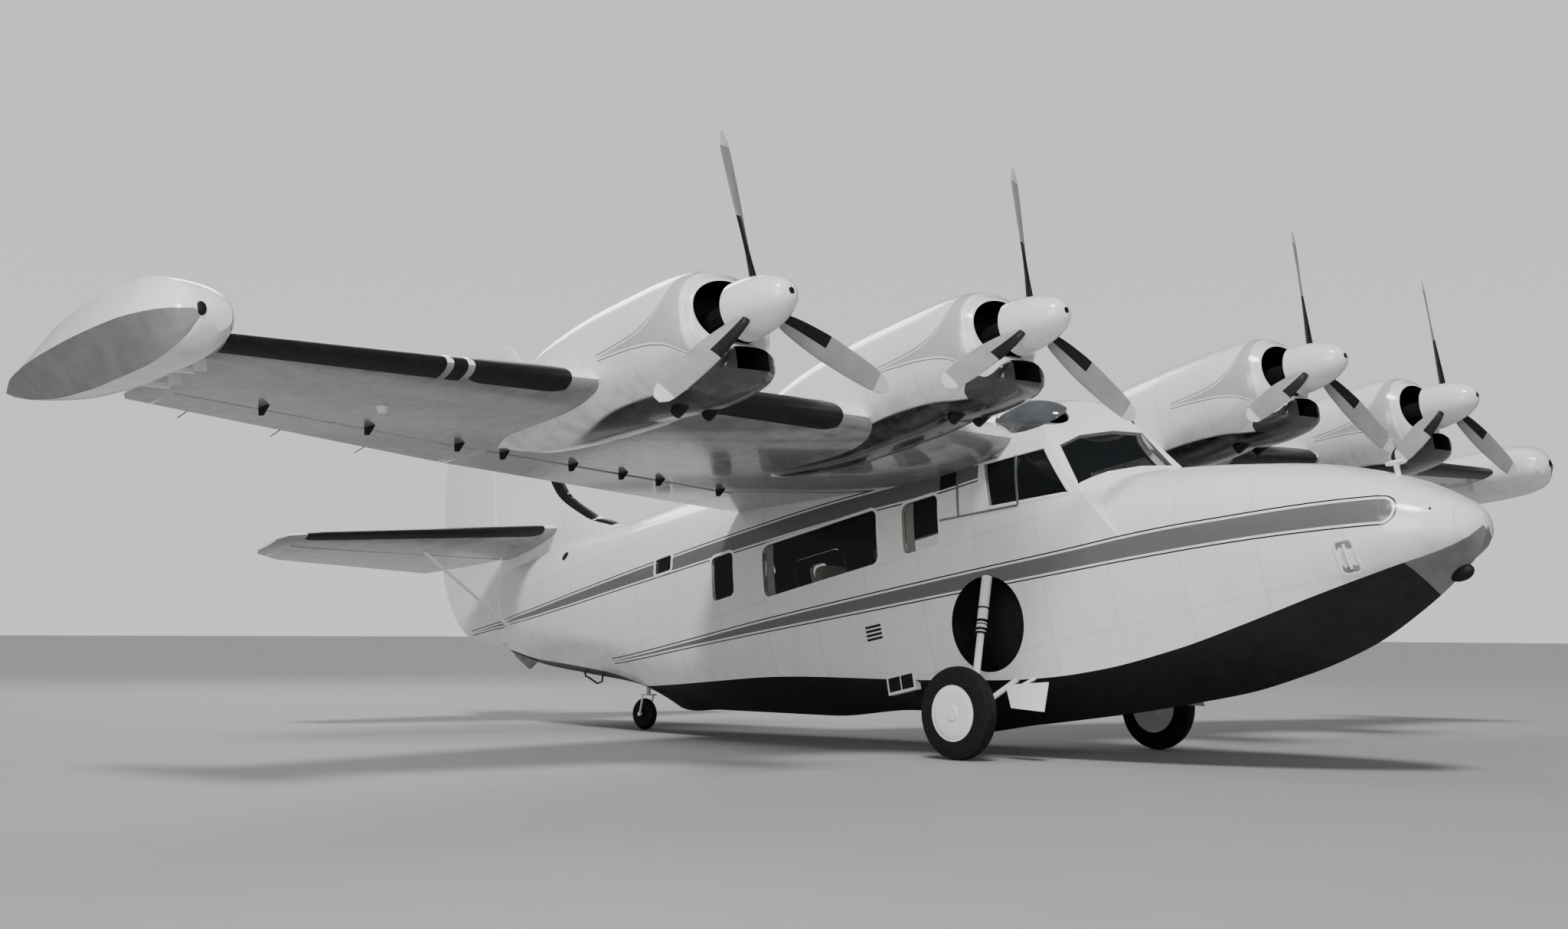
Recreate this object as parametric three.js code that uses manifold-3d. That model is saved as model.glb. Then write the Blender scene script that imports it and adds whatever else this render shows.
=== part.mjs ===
// Four-engined amphibious flying boat, parked on its wheels, in millimetres, +Z up, nose towards -Y.
// Every piece is drawn in the airframe's own frame and then tilted as the aircraft sits on the ground.
// In that frame a point is [x, s, h]: x to port, s aft along the propeller axes, h up from the ground
// point midway between the main wheels.
import * as THREE from 'three';
import { mergeVertices } from 'three/addons/utils/BufferGeometryUtils.js';
import Module from 'manifold-3d';

const wasm = await Module();
wasm.setup();

const RAD = Math.PI / 180;
const SIT = 11.217 * RAD; // nose-up angle of the propeller axes when all three wheels touch the ground
const BOX_SHIFT = 2515.6; // from the middle of the object's length forward to the main wheels' contact
const GAP = 0.3; // between pieces that touch
const SIDES = [['left', 1], ['right', -1]];

// Hull: half sections, keel to crown. The chine is the hard edge between planing bottom and side.
const HULL_COLUMNS = ['s', 'keel', 'chineX', 'chineH', 'sideX', 'sideH', 'crown'];
const BOW_ROWS = [
  [-3845, 900, 30, 930, 40, 960, 1010],
  [-3790, 790, 150, 860, 200, 930, 1080],
  [-3640, 670, 270, 800, 370, 950, 1200],
  [-3360, 510, 420, 745, 535, 990, 1375],
  [-2810, 300, 585, 650, 670, 1060, 1600],
  [-2290, 210, 665, 565, 730, 1120, 1735],
  [-1750, 170, 705, 500, 757, 1170, 1850],
];
const DECK_ROWS = [
  [-1200, 180, 725, 475, 770, 1210, 1935],
  [-640, 205, 735, 500, 775, 1250, 1960],
];
const CAB_ROWS = [
  [-1750, 170, 705, 500, 757, 1170, 1990],
  [-1200, 180, 725, 475, 770, 1210, 2350],
  [-860, 192, 732, 485, 773, 1230, 2600],
  [-460, 215, 737, 520, 776, 1255, 2700],
];
const BODY_ROWS = [
  [200, 262, 740, 625, 778, 1290, 2780],
  [990, 335, 738, 772, 775, 1340, 2845],
  [1005, 425, 736, 775, 775, 1340, 2846],
  [2450, 705, 700, 1050, 752, 1490, 2905],
  [3300, 875, 640, 1160, 715, 1600, 2930],
  [3920, 1000, 560, 1240, 672, 1690, 2945],
];
const TAIL_ROWS = [
  [4470, 1110, 430, 1330, 615, 1780, 2955],
  [4485, 1130, 420, 1335, 613, 1782, 2955],
  [4960, 1400, 330, 1515, 545, 1900, 2965],
  [5830, 1680, 215, 1770, 395, 2160, 2975],
  [6500, 1890, 125, 1955, 255, 2370, 2970],
  [7040, 2110, 45, 2150, 100, 2560, 2950],
];
// Mooring bitt on the bow deck, and tie-down pads under the wings
const BITT = { s: -3290, low: 1300, high: 1500, half: 25 };
const TIE_DOWN = { x: 5560, s: 480, half: 30, low: 2458, high: 2530 };
const SQUARENESS = 2.55; // exponent of the curve from the widest point up to the crown
const FLARE = 14; // hollow of the planing bottom between keel and chine
const SIDE_BULGE = 0.75; // how far out the topside has come halfway up from the chine
const BOW_JOINT = -1780;
const TAIL_JOINT = 3920;
const WALL = 38; // cabin wall with frames and lining

// Windshield: two flat panes that meet on the centre line
const POST_FOOT = [0, -1554, 1894];
const POST_TOP = [0, -1261, 2241];
const PANE_CORNER = [720, -1120, 1810];

// Floor line inside the cabin, as [s, h]
const FLOOR_LINE = [[-1650, 780], [1200, 780], [3960, 1230]];
const FLOOR_THICK = 20;
const CAVITY_FRONT = -1600;
const CAVITY_BACK = 3890;

// Side windows: centre and half sizes in s and h, with corner radius
const CABIN_WINDOWS = [
  { s: 460, h: 1905, a: 200, b: 205, r: 60 },
  { s: 1640, h: 1925, a: 700, b: 225, r: 70 },
];
const REAR_WINDOWS_RIGHT = [
  { s: 2880, h: 2005, a: 155, b: 195, r: 60 },
  { s: 3745, h: 2298, a: 122, b: 72, r: 25 },
];
const REAR_WINDOWS_LEFT = [{ s: 3745, h: 2298, a: 122, b: 72, r: 25 }];
const DOOR = { s: 3070, h: 1760, a: 320, b: 520, r: 90, gap: 7 };
const DOOR_WINDOW = { s: 3090, h: 1985, a: 110, b: 215, r: 60 };
const COCKPIT_WINDOW = [[-1045, 1806], [-812, 2192], [-230, 2236], [-262, 1878]];
const EYEBROW = { x: 410, s: -560, h: 2500, a: 175, b: 340, c: 150, lean: 34, pitch: -14, wall: 10 };

// Wing: x, leading edge s and h, trailing edge s and h, thickness
const WING_ROWS = [
  [250, -470, 2362, 2740, 2545, 480],
  [760, -455, 2385, 2690, 2550, 455],
  [4150, -420, 2510, 1950, 2590, 300],
  [7040, -270, 2588, 1010, 2580, 160],
  [7085, -190, 2590, 930, 2582, 110],
];
const WING_CAMBER = 0.022;
const SURFACE_NOSE = 0.78; // hinge place of flaps and ailerons as a share of the chord
const SURFACES = [
  { name: 'flap', from: 1380, to: 4120, cove: 28, endGap: 18 },
  { name: 'aileron', from: 4190, to: 6840, cove: 10, endGap: 12 },
];
const COVE = 10; // air between a moving surface of the tail and the piece that carries it
const PIN = 8;
const PIN_HOLE = 8.6;

// The point of each spinner, the turn of its first blade, and how far the nacelle behind it sinks
const SPINNERS = [
  { name: 'inner_right', x: -1699, s: -2053, h: 2782, phase: 2.24, sink: 110, stretch: 1.2 },
  { name: 'inner_left', x: 1699, s: -2053, h: 2782, phase: 3.42, sink: 110, stretch: 1.2 },
  { name: 'outer_right', x: -4061, s: -1837, h: 2714, phase: -6.62, sink: 0, stretch: 1 },
  { name: 'outer_left', x: 4061, s: -1837, h: 2714, phase: 0.29, sink: 0, stretch: 1 },
];
// Distance aft of the spinner's point, half width, height over and depth under the axis, share of the sink
const NACELLE_ROWS = [
  [600, 330, 270, 300, 0],
  [640, 375, 318, 350, 0],
  [740, 415, 350, 400, 0.1],
  [1000, 440, 368, 440, 0.3],
  [1500, 445, 365, 450, 0.6],
  [2000, 415, 335, 420, 0.9],
  [2600, 330, 200, 350, 1],
  [3100, 120, -40, 200, 1],
];
const CHIN_ROWS = [
  [425, 165, -235, 400],
  [455, 215, -215, 450],
  [560, 262, -160, 490],
  [800, 290, -100, 510],
  [1500, 200, -100, 440],
];
const FIREWALL = 1350;
const NACELLE_SKIN = 22;
const BAY_FRONT = 690;
const ENGINE = {
  half: 240, low: 190, high: 200, front: 800, back: FIREWALL - GAP, nose: 530, noseRadius: 95,
};
const SHAFT_HOLE = 40.95;
const MOUTH = { a: 300, b: 195, up: 20 };
const CHIN_INLET = { a: 85, low: 375, high: 265 };

// Propellers
const PROP_RADIUS = 1146;
const BLADE_PLANE = 307;
const SPINNER_LENGTH = 455;
const SPINNER_RADIUS = 196;
// radius, chord, thickness, pitch in degrees
const BLADE_ROWS = [
  [110, 66, 56, 60],
  [330, 138, 32, 44],
  [620, 172, 20, 32],
  [900, 160, 13, 25],
  [1090, 118, 9, 21],
  [PROP_RADIUS, 48, 6, 20],
];
const BLADES = 3;
const SPINNER_STEPS = 5;
const SHAFT = 40;

// Tip floats: distance aft of the float's nose, deck x, keel x, chine x, half width
const FLOAT_ROWS = [
  [0, 7320, 7450, 7405, 30],
  [45, 7200, 7560, 7465, 130],
  [170, 7140, 7655, 7520, 210],
  [420, 7120, 7722, 7550, 255],
  [850, 7120, 7742, 7570, 265],
  [1350, 7124, 7722, 7560, 235],
  [1930, 7170, 7640, 7510, 140],
  [2410, 7330, 7480, 7430, 20],
];
const FLOAT_NOSE_S = -700;
const FLOAT_NOSE_H = 2580;
const FLOAT_RISE = 0.08; // how the float's middle climbs towards its tail
const FLOAT_HINGE = { x: 7085, h: 2470, lugs: [30, 340], pin: 9, hole: 9.6 };

// Fin and rudder: height, leading edge s and offset, trailing edge s and offset, thickness
const FIN_ROWS = [
  [2215, 6300, 0, 7300, 0, 190],
  [2390, 6300, 0, 7740, 0, 200],
  [2560, 6200, 0, 7945, 0, 205],
  [2950, 5000, 0, 8120, 0, 190],
  [3180, 5400, 0, 8165, 0, 185],
  [3550, 5850, 0, 8080, 0, 165],
  [4400, 6150, 0, 7860, 0, 125],
  [5080, 6400, 0, 7560, 0, 85],
  [5240, 6520, 0, 7330, 0, 60],
  [5290, 6640, 0, 7050, 0, 30],
];
const FIN_FOOT = 2890;
const RUDDER_LINE = { from: 2230, to: 5060, s: [7146, 6873] };
const TAILPLANE_ROWS = [
  [20, 5945, 3175, 7830, 3080, 190],
  [2420, 6520, 3165, 7420, 3110, 95],
  [2720, 6660, 3165, 7250, 3125, 55],
  [2760, 6800, 3163, 7150, 3135, 25],
];
// The elevator's inner end slants away from the rudder's swing by notch over its length
const ELEVATOR = {
  from: 170, to: 2590, s: 6870, h: 3138, notch: 430, tube: 90, tubeRadius: 20, noseRoom: 92,
};
const TAIL_STRUT = { foot: [185, 6815, 2350], top: [1170, 6760, 3085], long: 62, thick: 20 };

// Landing gear
const WHEEL_X = 1190;
const WHEEL_SIDES = 20;
const TAIL_WHEEL_SIDES = 16;
const TYRE = { radius: 345, width: 215, bead: 207 };
const AXLE = 25;
const AXLE_HOLE = 25.9;
const WELL = { s: -105, h: 1000, radius: 362, depth: 285, wall: 18 };
const GEAR = {
  head: [790, -190, 1345], knee: [1045, -150, 560], carrier: 1040, barrel: 40, piston: 28, arm: 22,
  pivots: [[640, -330, 600], [640, 210, 640]],
};
const TAIL_WHEEL_Y = 5152;
const TAIL_WHEEL = { radius: 147, width: 96, bead: 70 };
const TAIL_AXLE = 12;
const TAIL_AXLE_HOLE = 12.7;
const FORK = { crown: 188, trail: 55, plate: 14, neck: 90, spindle: 22, arm: 64, bar: 9, boss: 46 };

// Seats: place of the seat's middle, half spacing, width
const SEATS = [
  { name: 'pilot_seat', s: -830, x: 330, width: 420 },
  { name: 'cabin_seat_front', s: 640, x: 370, width: 420 },
  { name: 'cabin_seat_rear', s: 1640, x: 325, width: 400 },
];

const colours = {
  white: ['#eeeeec', 0.25, 0],
  dark: ['#3b3d40', 0.45, 0],
  boot: ['#161617', 0.6, 0],
  rubber: ['#1b1b1b', 0.85, 0],
  metal: ['#b9bbbd', 0.35, 0.9],
  glass: ['#39424a', 0.08, 0],
  cloth: ['#8a8278', 0.9, 0],
  grey: ['#8f9296', 0.5, 0],
};
const materials = {};
for (const [name, [color, roughness, metalness]] of Object.entries(colours)) {
  materials[name] = new THREE.MeshStandardMaterial({ name, color, roughness, metalness });
}

// Solids

function solidOf(geometry) {
  const bare = geometry.clone();
  bare.deleteAttribute('normal');
  bare.deleteAttribute('uv');
  const merged = mergeVertices(bare, 1e-3);
  const corners = merged.index.array;
  const triVerts = [];
  for (let i = 0; i < corners.length; i += 3) {
    const [a, b, c] = [corners[i], corners[i + 1], corners[i + 2]];
    if (a !== b && b !== c && c !== a) triVerts.push(a, b, c);
  }
  return new wasm.Manifold(new wasm.Mesh({
    numProp: 3,
    vertProperties: new Float32Array(merged.attributes.position.array),
    triVerts: new Uint32Array(triVerts),
  }));
}

// A closed skin through rings of equally many points, with a fan over each end
function skin(rings) {
  const n = rings[0].length;
  const points = rings.flat();
  const faces = [];
  for (let r = 0; r + 1 < rings.length; r++) {
    for (let i = 0; i < n; i++) {
      const j = (i + 1) % n;
      const p = r * n;
      const q = p + n;
      faces.push([p + i, p + j, q + j], [p + i, q + j, q + i]);
    }
  }
  for (const [r, turn] of [[0, 1], [rings.length - 1, 0]]) {
    const ring = rings[r];
    const middle = [0, 1, 2].map((k) => ring.reduce((sum, p) => sum + p[k], 0) / n);
    const m = points.push(middle) - 1;
    for (let i = 0; i < n; i++) {
      const j = (i + 1) % n;
      faces.push(turn ? [m, r * n + j, r * n + i] : [m, r * n + i, r * n + j]);
    }
  }
  let volume = 0;
  for (const [a, b, c] of faces) {
    const [p, q, r] = [a, b, c].map((k) => new THREE.Vector3(...points[k]));
    volume += p.dot(q.cross(r));
  }
  const index = faces.flatMap(([a, b, c]) => (volume > 0 ? [a, b, c] : [a, c, b]));
  const geometry = new THREE.BufferGeometry();
  geometry.setAttribute('position', new THREE.Float32BufferAttribute(points.flat(), 3));
  geometry.setIndex(index);
  return solidOf(geometry);
}

function box(x0, x1, s0, s1, h0, h1) {
  const geometry = new THREE.BoxGeometry(x1 - x0, s1 - s0, h1 - h0);
  geometry.translate((x0 + x1) / 2, (s0 + s1) / 2, (h0 + h1) / 2);
  return solidOf(geometry);
}

function rod(from, to, radius, sides = 12, endRadius = radius) {
  const a = new THREE.Vector3(...from);
  const b = new THREE.Vector3(...to);
  const geometry = new THREE.CylinderGeometry(endRadius, radius, a.distanceTo(b), sides);
  const up = new THREE.Vector3(0, 1, 0);
  geometry.applyQuaternion(new THREE.Quaternion().setFromUnitVectors(up, b.clone().sub(a).normalize()));
  geometry.translate((a.x + b.x) / 2, (a.y + b.y) / 2, (a.z + b.z) / 2);
  return solidOf(geometry);
}

// An outline in s and h, pushed through along x
function sidePrism(shape, x0, x1) {
  const geometry = new THREE.ExtrudeGeometry(shape, {
    depth: x1 - x0, bevelEnabled: false, curveSegments: 2,
  });
  const turn = new THREE.Matrix4().makeBasis(
    new THREE.Vector3(0, 1, 0),
    new THREE.Vector3(0, 0, 1),
    new THREE.Vector3(1, 0, 0),
  );
  geometry.applyMatrix4(turn);
  geometry.translate(x0, 0, 0);
  return solidOf(geometry);
}

function polygon(points) {
  return new THREE.Shape(points.map(([u, v]) => new THREE.Vector2(u, v)));
}

function roundedWindow({ s, h, a, b, r }, grow = 0) {
  const [u, v, c] = [a + grow, b + grow, r + grow];
  const shape = new THREE.Shape();
  shape.absarc(s + u - c, h + v - c, c, 0, 90 * RAD);
  shape.absarc(s - u + c, h + v - c, c, 90 * RAD, 180 * RAD);
  shape.absarc(s - u + c, h - v + c, c, 180 * RAD, 270 * RAD);
  shape.absarc(s + u - c, h - v + c, c, 270 * RAD, 360 * RAD);
  return shape;
}

// A wheel, its profile given as [radius, distance along the axis], axis along x, a corner to the ground
function turned(profile, segments, at) {
  const geometry = new THREE.LatheGeometry(profile.map(([r, d]) => new THREE.Vector2(r, d)), segments);
  geometry.rotateZ(-90 * RAD);
  geometry.rotateX(SIT);
  geometry.translate(...at);
  return solidOf(geometry);
}

// Moves each point of a flat ring outwards by grow
function offset(ring, grow) {
  if (grow === 0) return ring;
  const n = ring.length;
  let area = 0;
  for (let i = 0; i < n; i++) {
    const [p, q] = [ring[i], ring[(i + 1) % n]];
    area += p[0] * q[1] - q[0] * p[1];
  }
  const out = area > 0 ? 1 : -1;
  return ring.map((p, i) => {
    const before = ring[(i + n - 1) % n];
    const after = ring[(i + 1) % n];
    const one = new THREE.Vector2(p[1] - before[1], before[0] - p[0]).normalize();
    const two = new THREE.Vector2(after[1] - p[1], p[0] - after[0]).normalize();
    const normal = one.add(two).normalize();
    return [p[0] + out * grow * normal.x, p[1] + out * grow * normal.y];
  });
}

// Hull

const ARC_STEPS = 6;

function hullRing(row, grow = 0) {
  const at = Object.fromEntries(HULL_COLUMNS.map((name, i) => [name, row[i]]));
  const half = [[0, at.keel]];
  const hollow = FLARE * Math.min(1, at.chineX / 300);
  half.push([at.chineX * 0.55, at.keel + (at.chineH - at.keel) * 0.55 + hollow]);
  half.push([at.chineX, at.chineH]);
  half.push([at.chineX + (at.sideX - at.chineX) * SIDE_BULGE, (at.chineH + at.sideH) / 2]);
  for (let i = 0; i < ARC_STEPS; i++) {
    const turn = (i / ARC_STEPS) * 90 * RAD;
    half.push([
      at.sideX * Math.cos(turn) ** (2 / SQUARENESS),
      at.sideH + (at.crown - at.sideH) * Math.sin(turn) ** (2 / SQUARENESS),
    ]);
  }
  const mirror = half.slice(1).reverse().map(([x, h]) => [-x, h]);
  const ring = [...half, [0, at.crown], ...mirror];
  return offset(ring, grow).map(([x, h]) => [x, at.s, h]);
}

const hullLoft = (rows, grow = 0) => skin(rows.map((row) => hullRing(row, grow)));

const EVERY_CAB_ROW = [...CAB_ROWS, ...BODY_ROWS, ...TAIL_ROWS];
const FAR = 9000;

// Solid on one side of the pane's plane, side is 1 to port and -1 to starboard
function beforePane(side, back = 0) {
  const foot = new THREE.Vector3(...POST_FOOT);
  const top = new THREE.Vector3(...POST_TOP);
  const corner = new THREE.Vector3(side * PANE_CORNER[0], PANE_CORNER[1], PANE_CORNER[2]);
  const across = corner.clone().sub(foot).normalize();
  const rise = top.clone().sub(foot).normalize();
  const normal = across.clone().cross(rise).normalize();
  if (normal.y > 0) normal.negate();
  const up = across.clone().cross(normal).normalize();
  const size = 3000;
  const geometry = new THREE.BoxGeometry(size, size, size);
  geometry.translate(0, 0, size / 2 - back);
  geometry.applyMatrix4(new THREE.Matrix4().makeBasis(up.clone().cross(normal), up, normal));
  geometry.translate(foot.x, foot.y, foot.z);
  const half = side > 0 ? box(0, FAR, -FAR, FAR, -FAR, FAR) : box(-FAR, 0, -FAR, FAR, -FAR, FAR);
  return solidOf(geometry).intersect(half);
}

function cutByPanes(solid, back = 0) {
  let cut = solid;
  for (const side of [1, -1]) cut = cut.subtract(beforePane(side, back));
  return cut;
}

// The whole outer form of the hull, or one that lies grow outside it
function hullForm(grow) {
  const low = hullLoft([...BOW_ROWS, ...DECK_ROWS], grow);
  return low.add(cutByPanes(hullLoft(EVERY_CAB_ROW, grow), -grow));
}

const hull = hullForm(0);
const hullClear = hullForm(GAP);

const aboveFloor = (rise) => sidePrism(
  polygon([
    ...FLOOR_LINE.map(([s, h]) => [s, h + rise]),
    [FLOOR_LINE.at(-1)[0], 4000],
    [FLOOR_LINE[0][0], 4000],
  ]),
  -1500,
  1500,
);

const wellHousing = (side, grow) => rod(
  [side * (770 - WELL.depth - grow), WELL.s, WELL.h],
  [side * 1500, WELL.s, WELL.h],
  WELL.radius + grow,
  24,
);

let cavity = cutByPanes(hullLoft(EVERY_CAB_ROW, -WALL), WALL)
  .intersect(box(-FAR, FAR, CAVITY_FRONT, CAVITY_BACK, -FAR, FAR))
  .intersect(aboveFloor(0));
for (const [, side] of SIDES) cavity = cavity.subtract(wellHousing(side, WELL.wall));

const bow = hull.intersect(box(-FAR, FAR, -FAR, BOW_JOINT - GAP / 2, -FAR, FAR));
const tail = hull.intersect(box(-FAR, FAR, TAIL_JOINT + GAP / 2, FAR, -FAR, FAR));
const middle = hull.intersect(box(-FAR, FAR, BOW_JOINT + GAP / 2, TAIL_JOINT - GAP / 2, -FAR, FAR));

const belowSplit = sidePrism(
  polygon([
    [-FAR, FLOOR_LINE[0][1] - GAP / 2],
    ...FLOOR_LINE.map(([s, h]) => [s, h - GAP / 2]),
    [FAR, FLOOR_LINE.at(-1)[1]],
    [FAR, -FAR],
    [-FAR, -FAR],
  ]),
  -1500,
  1500,
);
const overSplit = sidePrism(
  polygon([
    [-FAR, FLOOR_LINE[0][1] + GAP / 2],
    ...FLOOR_LINE.map(([s, h]) => [s, h + GAP / 2]),
    [FAR, FLOOR_LINE.at(-1)[1]],
    [FAR, FAR],
    [-FAR, FAR],
  ]),
  -1500,
  1500,
);

const inside = 300; // where window cutters start, measured from the centre line
const windowsOf = (side) => [...CABIN_WINDOWS, ...(side > 0 ? REAR_WINDOWS_LEFT : REAR_WINDOWS_RIGHT)];
const sideSpan = (side) => (side > 0 ? [inside, 1200] : [-1200, -inside]);

function windowCut(side, grow) {
  let cut = sidePrism(new THREE.Shape(offset(COCKPIT_WINDOW, grow).map((p) => new THREE.Vector2(...p))),
    ...sideSpan(side));
  for (const one of windowsOf(side)) cut = cut.add(sidePrism(roundedWindow(one, grow), ...sideSpan(side)));
  return cut;
}

// Windshield opening in the plane of each pane: across from the post, up from the post's foot
const PANE_OUTLINE = [
  [50, 34], [300, 96], [560, 104], [700, 76], [815, 36], [770, 478], [592, 550], [325, 528], [128, 450],
];

function paneOpening(side, grow, from, to) {
  const foot = new THREE.Vector3(...POST_FOOT);
  const top = new THREE.Vector3(...POST_TOP);
  const corner = new THREE.Vector3(side * PANE_CORNER[0], PANE_CORNER[1], PANE_CORNER[2]);
  const across = corner.clone().sub(foot);
  across.normalize();
  const rise = top.clone().sub(foot);
  const normal = across.clone().cross(rise).normalize();
  if (normal.y > 0) normal.negate();
  const up = normal.clone().cross(across).multiplyScalar(normal.clone().cross(across).z > 0 ? 1 : -1);
  const outline = polygon(offset(PANE_OUTLINE, grow));
  const geometry = new THREE.ExtrudeGeometry(outline, { depth: to - from, bevelEnabled: false });
  geometry.translate(0, 0, side > 0 ? from : -to);
  const basis = new THREE.Matrix4().makeBasis(across, up, across.clone().cross(up));
  geometry.applyMatrix4(basis);
  geometry.translate(foot.x, foot.y, foot.z);
  return solidOf(geometry);
}

function eyebrow(side, shrink) {
  const { x, s, h, a, b, c, lean, pitch } = EYEBROW;
  const geometry = new THREE.SphereGeometry(1, 12, 8);
  geometry.scale(a - shrink, b - shrink, c - shrink);
  geometry.rotateX(-pitch * RAD);
  geometry.rotateY(side * lean * RAD);
  geometry.translate(side * x, s, h);
  return solidOf(geometry);
}

let cabin = middle.intersect(overSplit).subtract(cavity);
for (const [, side] of SIDES) {
  cabin = cabin
    .subtract(windowCut(side, 0))
    .subtract(paneOpening(side, 0, -400, 400))
    .subtract(eyebrow(side, EYEBROW.wall + 22))
    .subtract(wellHousing(side, 0));
}
const doorRegion = (grow) => sidePrism(roundedWindow(DOOR, grow), inside, 1200);
const doorPanel = cabin.intersect(doorRegion(-DOOR.gap / 2));
cabin = cabin.subtract(doorRegion(DOOR.gap / 2));

let bottom = middle.intersect(belowSplit);
for (const [, side] of SIDES) bottom = bottom.subtract(wellHousing(side, 0));

const group = new THREE.Group();
const airframe = new THREE.Group();
airframe.rotation.x = -SIT;
airframe.position.y = -BOX_SHIFT;
group.add(airframe);

function add(name, solid, material) {
  const { vertProperties, triVerts } = solid.getMesh();
  const geometry = new THREE.BufferGeometry();
  geometry.setAttribute('position', new THREE.BufferAttribute(new Float32Array(vertProperties), 3));
  geometry.setIndex(new THREE.BufferAttribute(new Uint32Array(triVerts), 1));
  geometry.computeVertexNormals();
  const mesh = new THREE.Mesh(geometry, materials[material]);
  mesh.name = name;
  airframe.add(mesh);
}

const { s: bittS, low: bittLow, high: bittHigh, half: bittHalf } = BITT;
const bitt = box(-bittHalf, bittHalf, bittS - bittHalf, bittS + bittHalf, bittLow, bittHigh);
add('hull_bow', bow.add(bitt), 'white');
add('hull_bottom', bottom, 'dark');

// Floor, between the walls
const floorSlab = sidePrism(
  polygon([
    ...FLOOR_LINE.map(([s, h]) => [s, h + GAP]),
    ...[...FLOOR_LINE].reverse().map(([s, h]) => [s, h + FLOOR_THICK]),
  ]),
  -1500,
  1500,
);
let floorRoom = hullLoft(EVERY_CAB_ROW, -WALL - GAP)
  .intersect(box(-FAR, FAR, CAVITY_FRONT + GAP, CAVITY_BACK - GAP, -FAR, FAR));
for (const [, side] of SIDES) floorRoom = floorRoom.subtract(wellHousing(side, WELL.wall + GAP));
add('cabin_floor', floorSlab.intersect(floorRoom), 'grey');

// Glazing: a clear inner sheet with a panel standing in each window
const GLASS = { sheet: 4, recess: 9, play: 1 };

function sideGlass(side) {
  const sheet = hullLoft(EVERY_CAB_ROW, -WALL - GAP)
    .subtract(hullLoft(EVERY_CAB_ROW, -WALL - GLASS.sheet))
    .intersect(box(...sideSpan(side), -1020, 3800, 1640, 2350));
  const panels = hullLoft(EVERY_CAB_ROW, -GLASS.recess)
    .subtract(hullLoft(EVERY_CAB_ROW, -WALL - 1))
    .intersect(windowCut(side, -GLASS.play));
  const behindPanes = cutByPanes(sheet.add(panels), WALL + 2);
  return side > 0 ? behindPanes.subtract(doorRegion(25)) : behindPanes;
}

function windshieldGlass() {
  const room = cutByPanes(hullLoft(EVERY_CAB_ROW, -WALL - GAP), WALL + GAP);
  const halves = [1, -1].map((side) => {
    const near = side > 0 ? box(-1, FAR, -FAR, FAR, -FAR, FAR) : box(-FAR, 1, -FAR, FAR, -FAR, FAR);
    const sheet = paneOpening(side, 30, -WALL - 6, -WALL - GAP).intersect(room).intersect(near);
    return sheet.add(paneOpening(side, -GLASS.play, -WALL - 1, -GLASS.recess));
  });
  return halves[0].add(halves[1]);
}

// Cabin door on the port side, hung on two strap hinges at its front edge
const DOOR_HINGE = {
  x: 754, s: DOOR.s - DOOR.a - 4, heights: [1440, 2030], strap: 40, length: 62, root: 680, foot: 60,
  knuckle: 13, pin: 6, hole: 6.6, low: 26, air: 3,
};

let doorWithHinges = doorPanel.subtract(sidePrism(roundedWindow(DOOR_WINDOW), inside, 1200));
let cabinWithHinges = cabin;
const outside = box(0, FAR, -FAR, FAR, -FAR, FAR).subtract(hullClear);
const strapRoom = outside.add(sidePrism(roundedWindow(DOOR, -DOOR.gap / 2), inside, 1200));
for (const h of DOOR_HINGE.heights) {
  const { x, s, strap, length, root, foot, knuckle, pin, hole, low, air } = DOOR_HINGE;
  const bottomEnd = h - low - 6;
  const topEnd = h - air;
  const plate = box(root, x + 2, s + 8, s + 8 + length, h, h + strap).intersect(strapRoom);
  doorWithHinges = doorWithHinges
    .add(plate)
    .add(box(x - 10, x + 10, s, s + 20, h, h + strap))
    .add(rod([x, s, h - low], [x, s, h + strap], pin))
    .add(rod([x, s, h], [x, s, h + strap], knuckle - 1));
  cabinWithHinges = cabinWithHinges
    .add(box(root + 20, x, s - foot, s - knuckle - 1, bottomEnd, topEnd))
    .add(box(x - knuckle - 1, x + knuckle - 1, s - 20, s + 3, bottomEnd, topEnd))
    .add(rod([x, s, bottomEnd], [x, s, topEnd], knuckle))
    .subtract(rod([x, s, h - low - 1], [x, s, h], hole));
}
const doorGlass = hullLoft(EVERY_CAB_ROW, -GLASS.recess)
  .subtract(hullLoft(EVERY_CAB_ROW, -WALL + GLASS.recess))
  .intersect(sidePrism(roundedWindow(DOOR_WINDOW, -GAP), inside, 1200));

// Wings and tail surfaces: a row is span, leading edge s and h, trailing edge s and h, thickness

const FOIL_STEPS = 8;
const NOSE_SIDES = 10;
const EDGE = 2.5; // half thickness of a trailing edge

// Half thickness of the section at a share u of its chord, for a section one unit thick
const foilHalf = (u) => 5 * (
  0.2969 * Math.sqrt(u) - 0.126 * u - 0.3516 * u ** 2 + 0.2843 * u ** 3 - 0.1036 * u ** 4
);

function rowAt(rows, span) {
  const i = Math.min(rows.length - 2, Math.max(0, rows.findIndex((row) => row[0] >= span) - 1));
  const [a, b] = [rows[i], rows[i + 1]];
  const t = (span - a[0]) / (b[0] - a[0]);
  return a.map((value, k) => value + (b[k] - value) * t);
}

// Middle of the section and its half thickness at a place s
function foilAt(row, s, camber) {
  const [, leS, leH, teS, teH, thick] = row;
  const u = (s - leS) / (teS - leS);
  const h = leH + (teH - leH) * u + camber * (teS - leS) * 4 * u * (1 - u);
  return { h, half: foilHalf(u) * thick + EDGE * u };
}

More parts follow.
